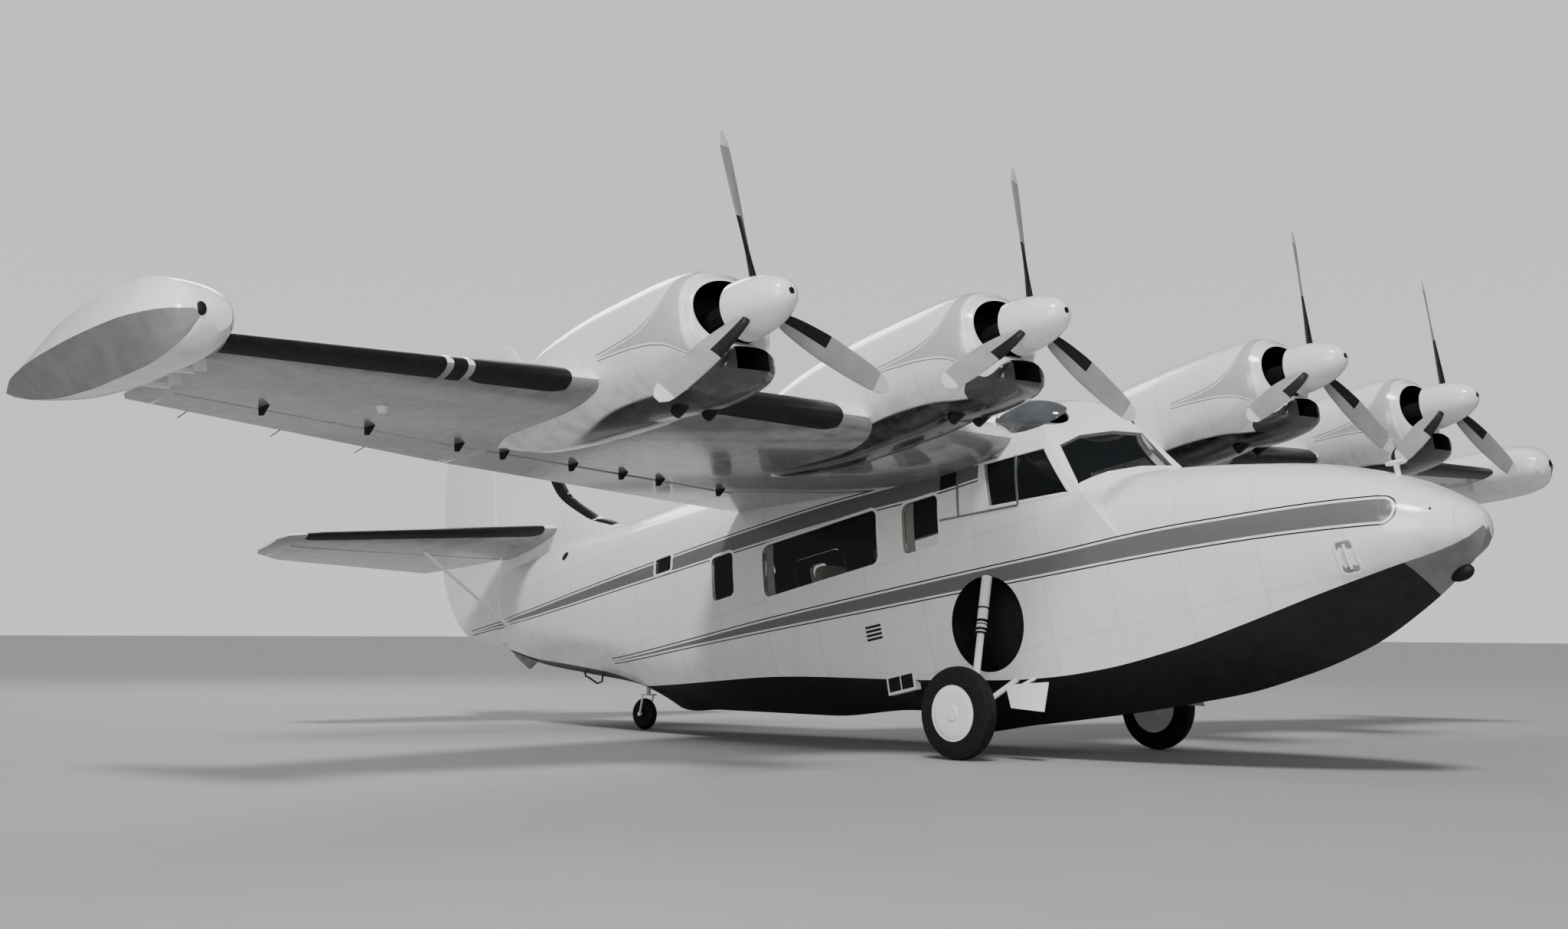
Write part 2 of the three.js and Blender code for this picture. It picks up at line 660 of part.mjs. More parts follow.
function foilRing(row, camber, grow) {
  const [, leS, , teS] = row;
  const upper = [];
  const lower = [];
  for (let i = 0; i <= FOIL_STEPS; i++) {
    const s = leS + (teS - leS) * (1 + Math.cos((Math.PI * i) / FOIL_STEPS)) / 2;
    const { h, half } = foilAt(row, s, camber);
    upper.push([s, h + half]);
    if (i < FOIL_STEPS) lower.unshift([s, h - half]);
  }
  return offset([...upper, ...lower], grow);
}

// place turns [span, s, h] into the airframe's frame
const foilForm = (rows, place, camber, grow) => skin(
  rows.map((row) => foilRing(row, camber, grow).map(([s, h]) => place([row[0], s, h]))),
);

// A hinged surface: the solid that moves, and what its carrier loses
function hinged(rows, place, camber, line, endGap) {
  const between = rows.map((row) => row[0]).filter((x) => x > line.from && x < line.to);
  const spans = [line.from, ...between, line.to];
  const s = (x) => line.s[0] + (line.s[1] - line.s[0]) * (x - line.from) / (line.to - line.from);
  const first = line.h ?? foilAt(rowAt(rows, line.from), s(line.from), camber).h;
  const last = line.h ?? foilAt(rowAt(rows, line.to), s(line.to), camber).h;
  const h = (x) => first + (last - first) * (x - line.from) / (line.to - line.from);
  const at = (x, ds = 0, dh = 0) => place([x, s(x) + ds, h(x) + dh]);
  const reach = 1500;
  const behind = (grow) => skin([line.from - grow, line.to + grow].map((x) => [
    at(x, 0, -reach), at(x, reach, -reach), at(x, reach, reach), at(x, 0, reach),
  ]));
  const nose = (moves, end) => {
    const stations = [...spans];
    stations[0] -= end;
    stations[stations.length - 1] += end;
    return skin(stations.map((x) => {
      const { h: middle, half } = foilAt(rowAt(rows, x), s(x), camber);
      const off = Math.abs(middle - h(x));
      const room = (half + off + (line.cove ?? COVE)) / Math.cos(Math.PI / NOSE_SIDES);
      const r = moves ? half - off - 1 : room;
      return Array.from({ length: NOSE_SIDES }, (_, i) => {
        const turn = (i / NOSE_SIDES) * 360 * RAD;
        return at(x, r * Math.cos(turn), r * Math.sin(turn));
      });
    }));
  };
  return { at, moving: behind(0), nose: nose(true, 0), cut: behind(endGap).add(nose(false, endGap)) };
}

const PIN_REACH = 18;
function pins(hinge, line, endGap, radius, into) {
  const a = hinge.at(line.from - endGap - into);
  const b = hinge.at(line.from + 60);
  const c = hinge.at(line.to - 60);
  const d = hinge.at(line.to + endGap + into);
  return rod(a, b, radius).add(rod(c, d, radius));
}

const END_GAP = 11;
const wingForms = {};
for (const [hand, side] of SIDES) {
  const place = ([x, s, h]) => [side * x, s, h];
  wingForms[hand] = foilForm(WING_ROWS, place, WING_CAMBER, GAP);
  let wing = foilForm(WING_ROWS, place, WING_CAMBER, 0).subtract(hullClear);
  const whole = wing;
  for (const { name, from, to, cove, endGap } of SURFACES) {
    const s = [from, to].map((x) => {
      const row = rowAt(WING_ROWS, x);
      return row[1] + (row[3] - row[1]) * SURFACE_NOSE;
    });
    const line = { from, to, s, cove };
    const hinge = hinged(WING_ROWS, place, WING_CAMBER, line, endGap);
    const surface = whole.intersect(hinge.moving).add(hinge.nose)
      .add(pins(hinge, line, endGap, PIN, PIN_REACH));
    wing = wing.subtract(hinge.cut).subtract(pins(hinge, line, endGap, PIN_HOLE, PIN_REACH + 2));
    add(`${name}_${hand}`, surface, 'white');
  }
  const { x, h, lugs, hole } = FLOAT_HINGE;
  for (const s of lugs) {
    const ends = [side * (x - 48), side * (x + 15)].sort((a, b) => a - b);
    const beyond = side > 0 ? [x - 2, FAR] : [-FAR, -x + 2];
    const block = box(...ends, s - 55, s - 5, h - 19, h + 100);
    wing = wing.add(block.subtract(box(...beyond, -FAR, FAR, h + 17, FAR)));
  }
  for (const s of lugs) wing = wing.subtract(rod([side * x, s - 40, h], [side * x, s, h], hole));
  const pad = TIE_DOWN;
  const padX = [side * pad.x - pad.half, side * pad.x + pad.half];
  wing = wing.add(box(...padX, pad.s - pad.half, pad.s + pad.half, pad.low, pad.high));
  add(`wing_${hand}`, wing, 'white');
}

// Nacelles, engines and propellers

const NACELLE_SIDES = 16;

// Rounded ring round the axis of a nacelle, its top and its foot given from that axis
function roundRing(at, ds, half, top, foot, grow, squareness = 2.4) {
  const middle = (top - foot) / 2;
  const tall = (top + foot) / 2;
  const flat = Array.from({ length: NACELLE_SIDES }, (_, i) => {
    const turn = (i / NACELLE_SIDES) * 360 * RAD;
    const [c, s] = [Math.cos(turn), Math.sin(turn)];
    return [
      half * Math.sign(c) * Math.abs(c) ** (2 / squareness),
      middle + tall * Math.sign(s) * Math.abs(s) ** (2 / squareness),
    ];
  });
  return offset(flat, grow).map(([x, h]) => [at.x + x, at.s + ds, at.h + h]);
}

for (const at of SPINNERS) {
  const hand = at.x > 0 ? 'left' : 'right';
  const rows = NACELLE_ROWS.map(([ds, half, top, foot, sink]) => [
    ds > 1500 ? 1500 + (ds - 1500) * at.stretch : ds,
    half,
    top - sink * at.sink * 0.3,
    foot + sink * at.sink,
  ]);
  const shell = skin(rows.map(([ds, half, top, foot]) => roundRing(at, ds, half, top, foot, 0)));
  const chin = skin(CHIN_ROWS.map(([ds, half, top, foot]) => roundRing(at, ds, half, top, foot, 0)));
  const inBay = rows.filter((row) => row[0] > BAY_FRONT && row[0] < FIREWALL);
  const bayRows = [rowAt(rows, BAY_FRONT), ...inBay, rowAt(rows, FIREWALL)];
  const bay = skin(bayRows.map(
    ([ds, half, top, foot]) => roundRing(at, ds, half, top, foot, -NACELLE_SKIN),
  ));
  const mouth = skin([520, BAY_FRONT + 10].map((ds) => roundRing(at, ds, MOUTH.a, MOUTH.b + MOUTH.up,
    MOUTH.b - MOUTH.up, 0, 2)));
  const inlet = box(at.x - CHIN_INLET.a, at.x + CHIN_INLET.a, at.s + 380, at.s + 800,
    at.h - CHIN_INLET.low, at.h - CHIN_INLET.high);
  const nacelle = shell.add(chin).subtract(bay).subtract(mouth).subtract(inlet).subtract(wingForms[hand]);
  add(`nacelle_${at.name}`, nacelle, 'white');

  const { half, low, high, back, front, nose } = ENGINE;
  const engine = box(at.x - half, at.x + half, at.s + front, at.s + back, at.h - low, at.h + high)
    .add(rod([at.x, at.s + nose, at.h], [at.x, at.s + front + 10, at.h], ENGINE.noseRadius, 12))
    .subtract(rod([at.x, at.s + nose - 20, at.h], [at.x, at.s + nose + 40, at.h], SHAFT_HOLE, 16));
  add(`engine_${at.name}`, engine, 'dark');

  const profile = [[0, 0]];
  for (let i = 1; i <= SPINNER_STEPS; i++) {
    const t = i / SPINNER_STEPS;
    const turn = t * 90 * RAD;
    profile.push([SPINNER_RADIUS * Math.sin(turn) ** 0.78, SPINNER_LENGTH * (1 - Math.cos(turn)) ** 0.92]);
  }
  profile.push([0, SPINNER_LENGTH]);
  const spinnerShape = new THREE.LatheGeometry(profile.map(([r, d]) => new THREE.Vector2(r, d)), 16);
  spinnerShape.translate(at.x, at.s, at.h);
  let propeller = solidOf(spinnerShape)
    .add(rod([at.x, at.s + SPINNER_LENGTH - 10, at.h], [at.x, at.s + nose + 35, at.h], SHAFT, 16));
  for (let k = 0; k < BLADES; k++) {
    const turn = (at.phase - (k * 360) / BLADES) * RAD;
    const rings = BLADE_ROWS.map(([radius, chord, thick, pitch]) => Array.from({ length: 6 }, (_, i) => {
      const around = (i / 6) * 360 * RAD;
      const along = (chord / 2) * Math.cos(around);
      const off = (thick / 2) * Math.sin(around);
      const [c, s] = [Math.cos(pitch * RAD), Math.sin(pitch * RAD)];
      const x = -c * along - s * off;
      const ds = -s * along + c * off;
      return [
        at.x + x * Math.cos(turn) + radius * Math.sin(turn),
        at.s + BLADE_PLANE + ds,
        at.h - x * Math.sin(turn) + radius * Math.cos(turn),
      ];
    }));
    propeller = propeller.add(skin(rings));
  }
  add(`propeller_${at.name}`, propeller, 'metal');
}

// Tip floats, lying on their sides beyond the wing tips

const FLOAT_ARC = 5;
for (const [hand, side] of SIDES) {
  const rings = FLOAT_ROWS.map(([ds, deck, keel, chine, half]) => {
    const s = FLOAT_NOSE_S + ds;
    const h = FLOAT_NOSE_H + FLOAT_RISE * ds;
    const upper = [];
    for (let i = 0; i <= FLOAT_ARC; i++) {
      const turn = (i / FLOAT_ARC) * 90 * RAD;
      upper.push([chine + (deck - chine) * Math.sin(turn) ** 0.8, half * Math.cos(turn) ** 0.8]);
    }
    const lower = upper.slice(0, -1).reverse().map(([x, dh]) => [x, -dh]);
    return [[keel, 0], ...upper, ...lower].map(([x, dh]) => [side * x, s, h + dh]);
  });
  let float = skin(rings);
  const { x, h, lugs, pin } = FLOAT_HINGE;
  for (const s of lugs) {
    float = float
      .add(box(Math.min(side * (x - 12), side * (x + 230)), Math.max(side * (x - 12), side * (x + 230)),
        s + 1, s + 26, h - 13, h + 13))
      .add(rod([side * x, s - 35, h], [side * x, s + 26, h], pin));
  }
  add(`float_${hand}`, float, 'white');
}

// Fin and rudder: span is height, and the section's height lies across the hull

const upright = ([span, s, across]) => [across, s, span];
const finForm = foilForm(FIN_ROWS, upright, 0, 0);
const finClear = foilForm(FIN_ROWS, upright, 0, GAP);
const rudderHinge = hinged(FIN_ROWS, upright, 0, RUDDER_LINE, END_GAP);
const rudder = finForm.intersect(rudderHinge.moving).add(rudderHinge.nose)
  .add(pins(rudderHinge, RUDDER_LINE, END_GAP, PIN, PIN_REACH));
let fin = finForm.intersect(box(-FAR, FAR, -FAR, FAR, FIN_FOOT, FAR)).subtract(hullClear)
  .subtract(rudderHinge.cut)
  .subtract(pins(rudderHinge, RUDDER_LINE, END_GAP, PIN_HOLE, PIN_REACH + 2));
add('rudder', rudder, 'white');

const TUBE_AIR = 1.6;
const tailClears = {};
const swept = { from: ELEVATOR.from, to: ELEVATOR.to, s: [ELEVATOR.s, ELEVATOR.s], h: ELEVATOR.h };
for (const [hand, side] of SIDES) {
  const place = ([x, s, h]) => [side * x, s, h];
  tailClears[hand] = foilForm(TAILPLANE_ROWS, place, 0, GAP);
  const whole = foilForm(TAILPLANE_ROWS, place, 0, 0).subtract(finClear);
  const hinge = hinged(TAILPLANE_ROWS, place, 0, swept, END_GAP);
  const { from, notch, s } = ELEVATOR;
  const inboard = skin([-FAR, FAR].map((h) => [
    place([-50, s - 400, h]), place([from, s - 400, h]), place([from, s + 30, h]),
    place([from + notch, s + 1100, h]), place([-50, s + 1100, h]),
  ]));
  const wide = skin([-FAR, FAR].map((h) => [
    place([-10, s, h]), place([from + 50, s, h]),
    place([from + 50, s + 1200, h]), place([-10, s + 1200, h]),
  ]));
  const elevator = whole.intersect(hinge.moving).add(hinge.nose).subtract(inboard)
    .add(rod(hinge.at(from - ELEVATOR.tube), hinge.at(from + 60), ELEVATOR.tubeRadius))
    .add(rod(hinge.at(swept.to - 60), hinge.at(swept.to + END_GAP + PIN_REACH), PIN));
  const tubeRoom = rod(hinge.at(0), hinge.at(from + 20), ELEVATOR.tubeRadius + TUBE_AIR);
  const noseRoom = rod(hinge.at(from - END_GAP), hinge.at(from + 60), ELEVATOR.noseRoom);
  add(`elevator_${hand}`, elevator, 'white');
  const plane = whole.subtract(hinge.cut).subtract(wide).subtract(noseRoom).subtract(tubeRoom)
    .subtract(rod(hinge.at(swept.to - 10), hinge.at(swept.to + END_GAP + PIN_REACH + 2), PIN_HOLE));
  add(`tailplane_${hand}`, plane, 'white');
  fin = fin.subtract(tubeRoom);

  const { foot, top, long, thick } = TAIL_STRUT;
  const strut = skin([foot, top].map(([x, s1, h]) => Array.from({ length: 10 }, (_, i) => {
    const turn = (i / 10) * 360 * RAD;
    return [side * (x + (thick / 2) * Math.sin(turn)), s1 + (long / 2) * Math.cos(turn), h];
  }))).subtract(hullClear).subtract(tailClears[hand]);
  add(`tail_strut_${hand}`, strut, 'white');
}
add('fin', fin, 'white');

// Main gear: leg in its well, axle, and wheel

const onGround = (x, y, z) => [
  x, y * Math.cos(SIT) - z * Math.sin(SIT), y * Math.sin(SIT) + z * Math.cos(SIT),
];

const wheelProfile = ({ radius, width, bead }, bore, depth) => [
  [0, width * 0.3],
  [bead * 0.3, width * 0.32],
  [bead * 0.36, width * 0.2],
  [bead, width * 0.28],
  [radius * 0.8, width * 0.5],
  [radius * 0.94, width * 0.42],
  [radius, width * 0.2],
  [radius, -width * 0.2],
  [radius * 0.94, -width * 0.42],
  [radius * 0.8, -width * 0.5],
  [bead, -width * 0.28],
  [bore + 14, -width * 0.2],
  [bore + 14, -width * 0.42],
  [bore, -width * 0.42],
  [bore, depth],
  [0, depth],
];

for (const [hand, side] of SIDES) {
  const hub = onGround(side * WHEEL_X, 0, TYRE.radius);
  const drawn = wheelProfile(TYRE, AXLE_HOLE, 20).map(([r, d]) => [r, side * d]);
  const profile = side > 0 ? drawn.reverse() : drawn;
  add(`main_wheel_${hand}`, turned(profile, WHEEL_SIDES, hub), 'rubber');
  const knee = [side * GEAR.knee[0], GEAR.knee[1], GEAR.knee[2]];
  const head = [side * GEAR.head[0], GEAR.head[1], GEAR.head[2]];
  const carrier = [side * GEAR.carrier, hub[1], hub[2]];
  const hubAt = (x) => [side * x, hub[1], hub[2]];
  const middlePoint = head.map((v, i) => v + (knee[i] - v) * 0.55);
  let leg = rod(head, middlePoint, GEAR.barrel, 12)
    .add(rod(middlePoint, knee, GEAR.piston, 10))
    .add(rod(knee, carrier, GEAR.arm + 6, 8))
    .add(rod(carrier, [side * (WHEEL_X + 18), hub[1], hub[2]], AXLE, 16))
    .add(rod(hubAt(GEAR.carrier - 40), hubAt(GEAR.carrier + 8), 46, 12));
  for (const pivot of GEAR.pivots) {
    leg = leg.add(rod([side * pivot[0], pivot[1], pivot[2]], carrier, GEAR.arm, 8));
  }
  const hullWithWell = hullClear.subtract(wellHousing(side, -GAP));
  add(`main_leg_${hand}`, leg.subtract(hullWithWell), 'white');
}

// Tail wheel in its fork

const tailWheelProfile = () => {
  const { radius, width, bead } = TAIL_WHEEL;
  const half = [
    [TAIL_AXLE_HOLE, width * 0.45],
    [bead * 0.4, width * 0.45],
    [bead * 0.45, width * 0.22],
    [bead, width * 0.3],
    [radius * 0.85, width * 0.5],
    [radius, width * 0.22],
  ];
  const other = [...half].reverse().map(([r, d]) => [r, -d]);
  return [...half, ...other, half[0]].reverse();
};

const tailHub = onGround(0, TAIL_WHEEL_Y, TAIL_WHEEL.radius);
const upwards = [0, -Math.sin(SIT), Math.cos(SIT)];
const along = (from, up, back) => [
  from[0],
  from[1] + up * upwards[1] + back * Math.cos(SIT),
  from[2] + up * upwards[2] + back * Math.sin(SIT),
];
add('tail_wheel', turned(tailWheelProfile(), TAIL_WHEEL_SIDES, tailHub), 'rubber');
const crownAt = along(tailHub, FORK.crown, -FORK.trail);
let fork = rod(along(crownAt, 0, 0), along(crownAt, FORK.neck, 0), FORK.spindle, 16)
  .add(rod(along(crownAt, -FORK.plate, 0), along(crownAt, 0.5, 0), FORK.arm + 16, 16));
for (const side of [1, -1]) {
  const shoulder = along([side * FORK.arm, crownAt[1], crownAt[2]], -FORK.plate / 2, 6);
  const foot = [side * FORK.arm, tailHub[1], tailHub[2]];
  fork = fork.add(rod(shoulder, foot, FORK.bar, 8)).add(rod(
    [side * (FORK.arm - FORK.bar + 1), tailHub[1], tailHub[2]],
    [side * (FORK.arm + FORK.bar), tailHub[1], tailHub[2]], 20, 10));
}
const tailAxle = [-FORK.arm, FORK.arm].map((x) => [x, tailHub[1], tailHub[2]]);
fork = fork.add(rod(...tailAxle, TAIL_AXLE, 12));
add('tail_fork', fork, 'white');

let tailWithFittings = tail
  .subtract(rudderHinge.cut)
  .add(rod(along(crownAt, FORK.plate + 2, 0), along(crownAt, FORK.neck + 60, 0), FORK.boss, 16))
  .subtract(rod(along(crownAt, -5, 0), along(crownAt, FORK.neck + 3, 0), FORK.spindle + 0.7, 16));
const pintle = rudderHinge.at(RUDDER_LINE.from - END_GAP);
const pintleFoot = [0, pintle[1] + 3, pintle[2] - PIN_REACH - 2];
const pintleTop = [0, pintle[1] - 2, pintle[2] + 5];
tailWithFittings = tailWithFittings
  .add(box(-22, 22, 6980, pintle[1] + 24, pintle[2] - 34, pintle[2]))
  .subtract(rod(pintleFoot, pintleTop, PIN_HOLE + 2));

// Cabin furniture: each seat is cushion, back and foot in one

// outline of a seat from its foot round over the cushion and the back, as [s, h]
const SEAT_OUTLINE = [
  [-60, 0], [-40, 290], [-250, 310], [-250, 430], [170, 415], [250, 1010], [350, 1010], [290, 290],
  [150, 280], [160, 0],
];
const seat = (x, s, floor, width) => sidePrism(
  polygon(SEAT_OUTLINE.map(([ds, dh]) => [s + ds, floor + dh])),
  x - width / 2,
  x + width / 2,
);

const floorAt = (s) => {
  const [, low, high] = FLOOR_LINE;
  const climb = s > low[0] ? ((s - low[0]) * (high[1] - low[1])) / (high[0] - low[0]) : 0;
  return low[1] + climb + FLOOR_THICK;
};

for (const { name, s, x, width } of SEATS) {
  const level = Math.max(floorAt(s - 60), floorAt(s + 160));
  for (const [hand, side] of SIDES) add(`${name}_${hand}`, seat(side * x, s, level + 1, width), 'cloth');
}

// Instrument panel with its pedestal, and the two control columns on their bar
const PANEL = { half: 640, front: -1300, back: -1262, low: 1400, high: 1760, play: 12 };
const PEDESTAL = { half: 110, back: -1180, high: 1500 };
const COLUMNS = {
  half: 380, s: -1100, bar: 20, post: 30, rise: 560, wheelX: 350, wheelHalf: 130, wheelRise: 690,
};
const panelFloor = FLOOR_LINE[0][1] + FLOOR_THICK + GAP;
const pedestal = box(-PEDESTAL.half, PEDESTAL.half, PANEL.front, PEDESTAL.back, panelFloor, PEDESTAL.high);
const dashboard = box(-PANEL.half, PANEL.half, PANEL.front, PANEL.back, PANEL.low, PANEL.high);
const panelRoom = cutByPanes(hullLoft(EVERY_CAB_ROW, -WALL - PANEL.play), WALL + PANEL.play);
add('instrument_panel', dashboard.intersect(panelRoom).add(pedestal), 'dark');

const { half: barHalf, s: barS, bar, post, rise: barRise, wheelX, wheelHalf, wheelRise } = COLUMNS;
const barH = panelFloor + barRise;
const gripH = panelFloor + wheelRise;
let columns = box(-barHalf, barHalf, barS - bar, barS + bar, barH, barH + 2 * bar)
  .add(box(-post, post, barS - bar - 5, barS + bar + 5, panelFloor, panelFloor + barRise + bar));
for (const side of [1, -1]) {
  const x = side * wheelX;
  columns = columns
    .add(rod([x, barS, barH + 10], [x, barS + 10, gripH + 10], 14, 8))
    .add(box(x - wheelHalf, x + wheelHalf, barS - 5, barS + 22, gripH, gripH + 30));
}
add('control_columns', columns, 'dark');

add('hull_cabin', cabinWithHinges, 'white');
add('hull_tail', tailWithFittings, 'white');
add('windshield', windshieldGlass(), 'glass');
add('side_glass_right', sideGlass(-1), 'glass');
add('side_glass_left', sideGlass(1), 'glass');
for (const [hand, side] of SIDES) {
  const dome = eyebrow(side, 0)
    .subtract(eyebrow(side, EYEBROW.wall))
    .subtract(hullClear)
    .subtract(wingForms[hand]);
  add(`roof_window_${hand}`, dome, 'glass');
}
add('cabin_door', doorWithHinges, 'white');
add('door_glass', doorGlass, 'glass');

export default group;
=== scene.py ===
"""Looks of the four-engined flying boat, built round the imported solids.

Shapes are drawn in the airframe's own frame and then set down as the aircraft sits: a point there is
(x, s, h), in metres, x to port, s aft along the propeller axes, h up from the ground point midway
between the main wheels.
"""

import math

import bpy
import numpy as np
from bpy.props import FloatProperty, FloatVectorProperty, IntProperty, PointerProperty
from mathutils import Matrix, Vector


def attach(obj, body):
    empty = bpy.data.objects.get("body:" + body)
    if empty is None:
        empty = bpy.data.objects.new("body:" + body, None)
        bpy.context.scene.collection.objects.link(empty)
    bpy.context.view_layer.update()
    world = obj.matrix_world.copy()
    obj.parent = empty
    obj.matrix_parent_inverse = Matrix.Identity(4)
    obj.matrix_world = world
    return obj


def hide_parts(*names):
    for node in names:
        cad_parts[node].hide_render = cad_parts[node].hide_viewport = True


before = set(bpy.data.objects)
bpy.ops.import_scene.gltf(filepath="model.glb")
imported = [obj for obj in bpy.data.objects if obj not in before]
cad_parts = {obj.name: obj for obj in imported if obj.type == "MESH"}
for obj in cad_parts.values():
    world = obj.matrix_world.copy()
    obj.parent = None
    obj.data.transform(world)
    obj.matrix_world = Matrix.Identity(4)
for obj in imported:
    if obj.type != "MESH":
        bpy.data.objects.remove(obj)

bl_info = {
    "name": "Flying boat",
    "version": (1, 0, 0),
    "blender": (4, 5, 0),
    "location": "View3D > Sidebar > Flying boat",
    "description": "Builds the looks of a parked four-engined flying boat",
    "category": "Add Mesh",
}

RAD = math.pi / 180
SIT = 11.217 * RAD
SHIFT = 2.5156
AIRFRAME = Matrix.Translation((0, -SHIFT, 0)) @ Matrix.Rotation(-SIT, 4, "X")
HANDS = (("left", 1), ("right", -1))
FAR = 20.0

# Hull sections: s, keel, chine x, chine h, side x, side h, crown
BOW_ROWS = [
    (-3.845, 0.900, 0.030, 0.930, 0.040, 0.960, 1.010),
    (-3.790, 0.790, 0.150, 0.860, 0.200, 0.930, 1.080),
    (-3.640, 0.670, 0.270, 0.800, 0.370, 0.950, 1.200),
    (-3.360, 0.510, 0.420, 0.745, 0.535, 0.990, 1.375),
    (-2.810, 0.300, 0.585, 0.650, 0.670, 1.060, 1.600),
    (-2.290, 0.210, 0.665, 0.565, 0.730, 1.120, 1.735),
    (-1.750, 0.170, 0.705, 0.500, 0.757, 1.170, 1.850),
    (-1.200, 0.180, 0.725, 0.475, 0.770, 1.210, 1.935),
    (-0.640, 0.205, 0.735, 0.500, 0.775, 1.250, 1.960),
]
CABIN_ROWS = [
    (-1.750, 0.170, 0.705, 0.500, 0.757, 1.170, 1.990),
    (-1.200, 0.180, 0.725, 0.475, 0.770, 1.210, 2.350),
    (-0.860, 0.192, 0.732, 0.485, 0.773, 1.230, 2.600),
    (-0.460, 0.215, 0.737, 0.520, 0.776, 1.255, 2.700),
    (0.200, 0.262, 0.740, 0.625, 0.778, 1.290, 2.780),
    (0.990, 0.335, 0.738, 0.772, 0.775, 1.340, 2.845),
    (1.005, 0.425, 0.736, 0.775, 0.775, 1.340, 2.846),
    (2.450, 0.705, 0.700, 1.050, 0.752, 1.490, 2.905),
    (3.300, 0.875, 0.640, 1.160, 0.715, 1.600, 2.930),
    (3.920, 1.000, 0.560, 1.240, 0.672, 1.690, 2.945),
    (4.470, 1.110, 0.430, 1.330, 0.615, 1.780, 2.955),
    (4.485, 1.130, 0.420, 1.335, 0.613, 1.782, 2.955),
    (4.960, 1.400, 0.330, 1.515, 0.545, 1.900, 2.965),
    (5.830, 1.680, 0.215, 1.770, 0.395, 2.160, 2.975),
    (6.500, 1.890, 0.125, 1.955, 0.255, 2.370, 2.970),
    (7.040, 2.110, 0.045, 2.150, 0.100, 2.560, 2.950),
]
SQUARENESS = 2.55
FLARE = 0.014
WALL = 0.038
POST_FOOT = Vector((0, -1.554, 1.894))
POST_TOP = Vector((0, -1.261, 2.241))
PANE_CORNER = Vector((0.720, -1.120, 1.810))
# opening in a pane's plane: across from the post, up from the post's foot
PANE_OUTLINE = [(0.050, 0.032), (0.290, 0.096), (0.550, 0.105), (0.695, 0.076), (0.826, 0.034),
                (0.790, 0.482), (0.592, 0.550), (0.325, 0.530), (0.126, 0.450)]
FLOOR_LINE = [(-1.650, 0.780), (1.200, 0.780), (3.960, 1.230)]
CAVITY = (-1.600, 3.890)
WELL = {"s": -0.105, "h": 1.0, "radius": 0.362, "inner": 0.485, "wall": 0.018}

# Windows: s, h, half length, half height, corner radius
CABIN_WINDOWS = [(0.460, 1.905, 0.200, 0.205, 0.060), (1.640, 1.925, 0.700, 0.225, 0.070)]
REAR_WINDOWS = {
    "right": [(2.880, 2.005, 0.155, 0.195, 0.060), (3.745, 2.298, 0.122, 0.072, 0.025)],
    "left": [(3.745, 2.298, 0.122, 0.072, 0.025)],
}
DOOR = (3.070, 1.760, 0.320, 0.520, 0.090)
DOOR_GAP = 0.007
DOOR_WINDOW = (3.090, 1.985, 0.110, 0.215, 0.060)
COCKPIT_WINDOW = [(-1.045, 1.798), (-0.800, 2.206), (-0.212, 2.228), (-0.270, 1.872)]
EYEBROW = {"x": 0.410, "s": -0.560, "h": 2.500, "size": (0.175, 0.340, 0.150), "lean": 34, "pitch": -14}

# Wing and tail sections: span, leading edge s and h, trailing edge s and h, thickness
WING_ROWS = [
    (0.250, -0.470, 2.362, 2.740, 2.545, 0.480),
    (0.760, -0.455, 2.385, 2.690, 2.550, 0.455),
    (4.150, -0.420, 2.510, 1.950, 2.590, 0.300),
    (7.040, -0.270, 2.588, 1.010, 2.580, 0.160),
    (7.085, -0.190, 2.590, 0.930, 2.582, 0.110),
]
# Rubber boots on the wing's leading edge: from, to, scallop at their ends
WING_BOOTS = [(2.34, 3.62, 0.05), (4.69, 5.40, 0.04), (5.45, 5.55, 0), (5.60, 7.03, 0)]
WING_CAMBER = 0.022
WING_HINGE = 0.78
WING_SURFACES = {"flap": (1.380, 4.120, 0.028, 0.018), "aileron": (4.190, 6.840, 0.010, 0.012)}
FIN_ROWS = [
    (2.215, 6.300, 0, 7.300, 0, 0.190),
    (2.390, 6.300, 0, 7.740, 0, 0.200),
    (2.560, 6.200, 0, 7.945, 0, 0.205),
    (2.950, 5.000, 0, 8.120, 0, 0.190),
    (3.180, 5.400, 0, 8.165, 0, 0.185),
    (3.550, 5.850, 0, 8.080, 0, 0.165),
    (4.400, 6.150, 0, 7.860, 0, 0.125),
    (5.080, 6.400, 0, 7.560, 0, 0.085),
    (5.240, 6.520, 0, 7.330, 0, 0.060),
    (5.290, 6.640, 0, 7.050, 0, 0.030),
]
FIN_FOOT = 2.890
RUDDER = (2.230, 5.060, 7.146, 6.873)
TAILPLANE_ROWS = [
    (0.020, 5.945, 3.175, 7.830, 3.080, 0.190),
    (2.420, 6.520, 3.165, 7.420, 3.110, 0.095),
    (2.720, 6.660, 3.165, 7.250, 3.125, 0.055),
    (2.760, 6.800, 3.163, 7.150, 3.135, 0.025),
]
ELEVATOR = {"from": 0.170, "to": 2.590, "s": 6.870, "h": 3.138, "notch": 0.430}
COVE, END_GAP = 0.010, 0.011
EDGE = 0.0025

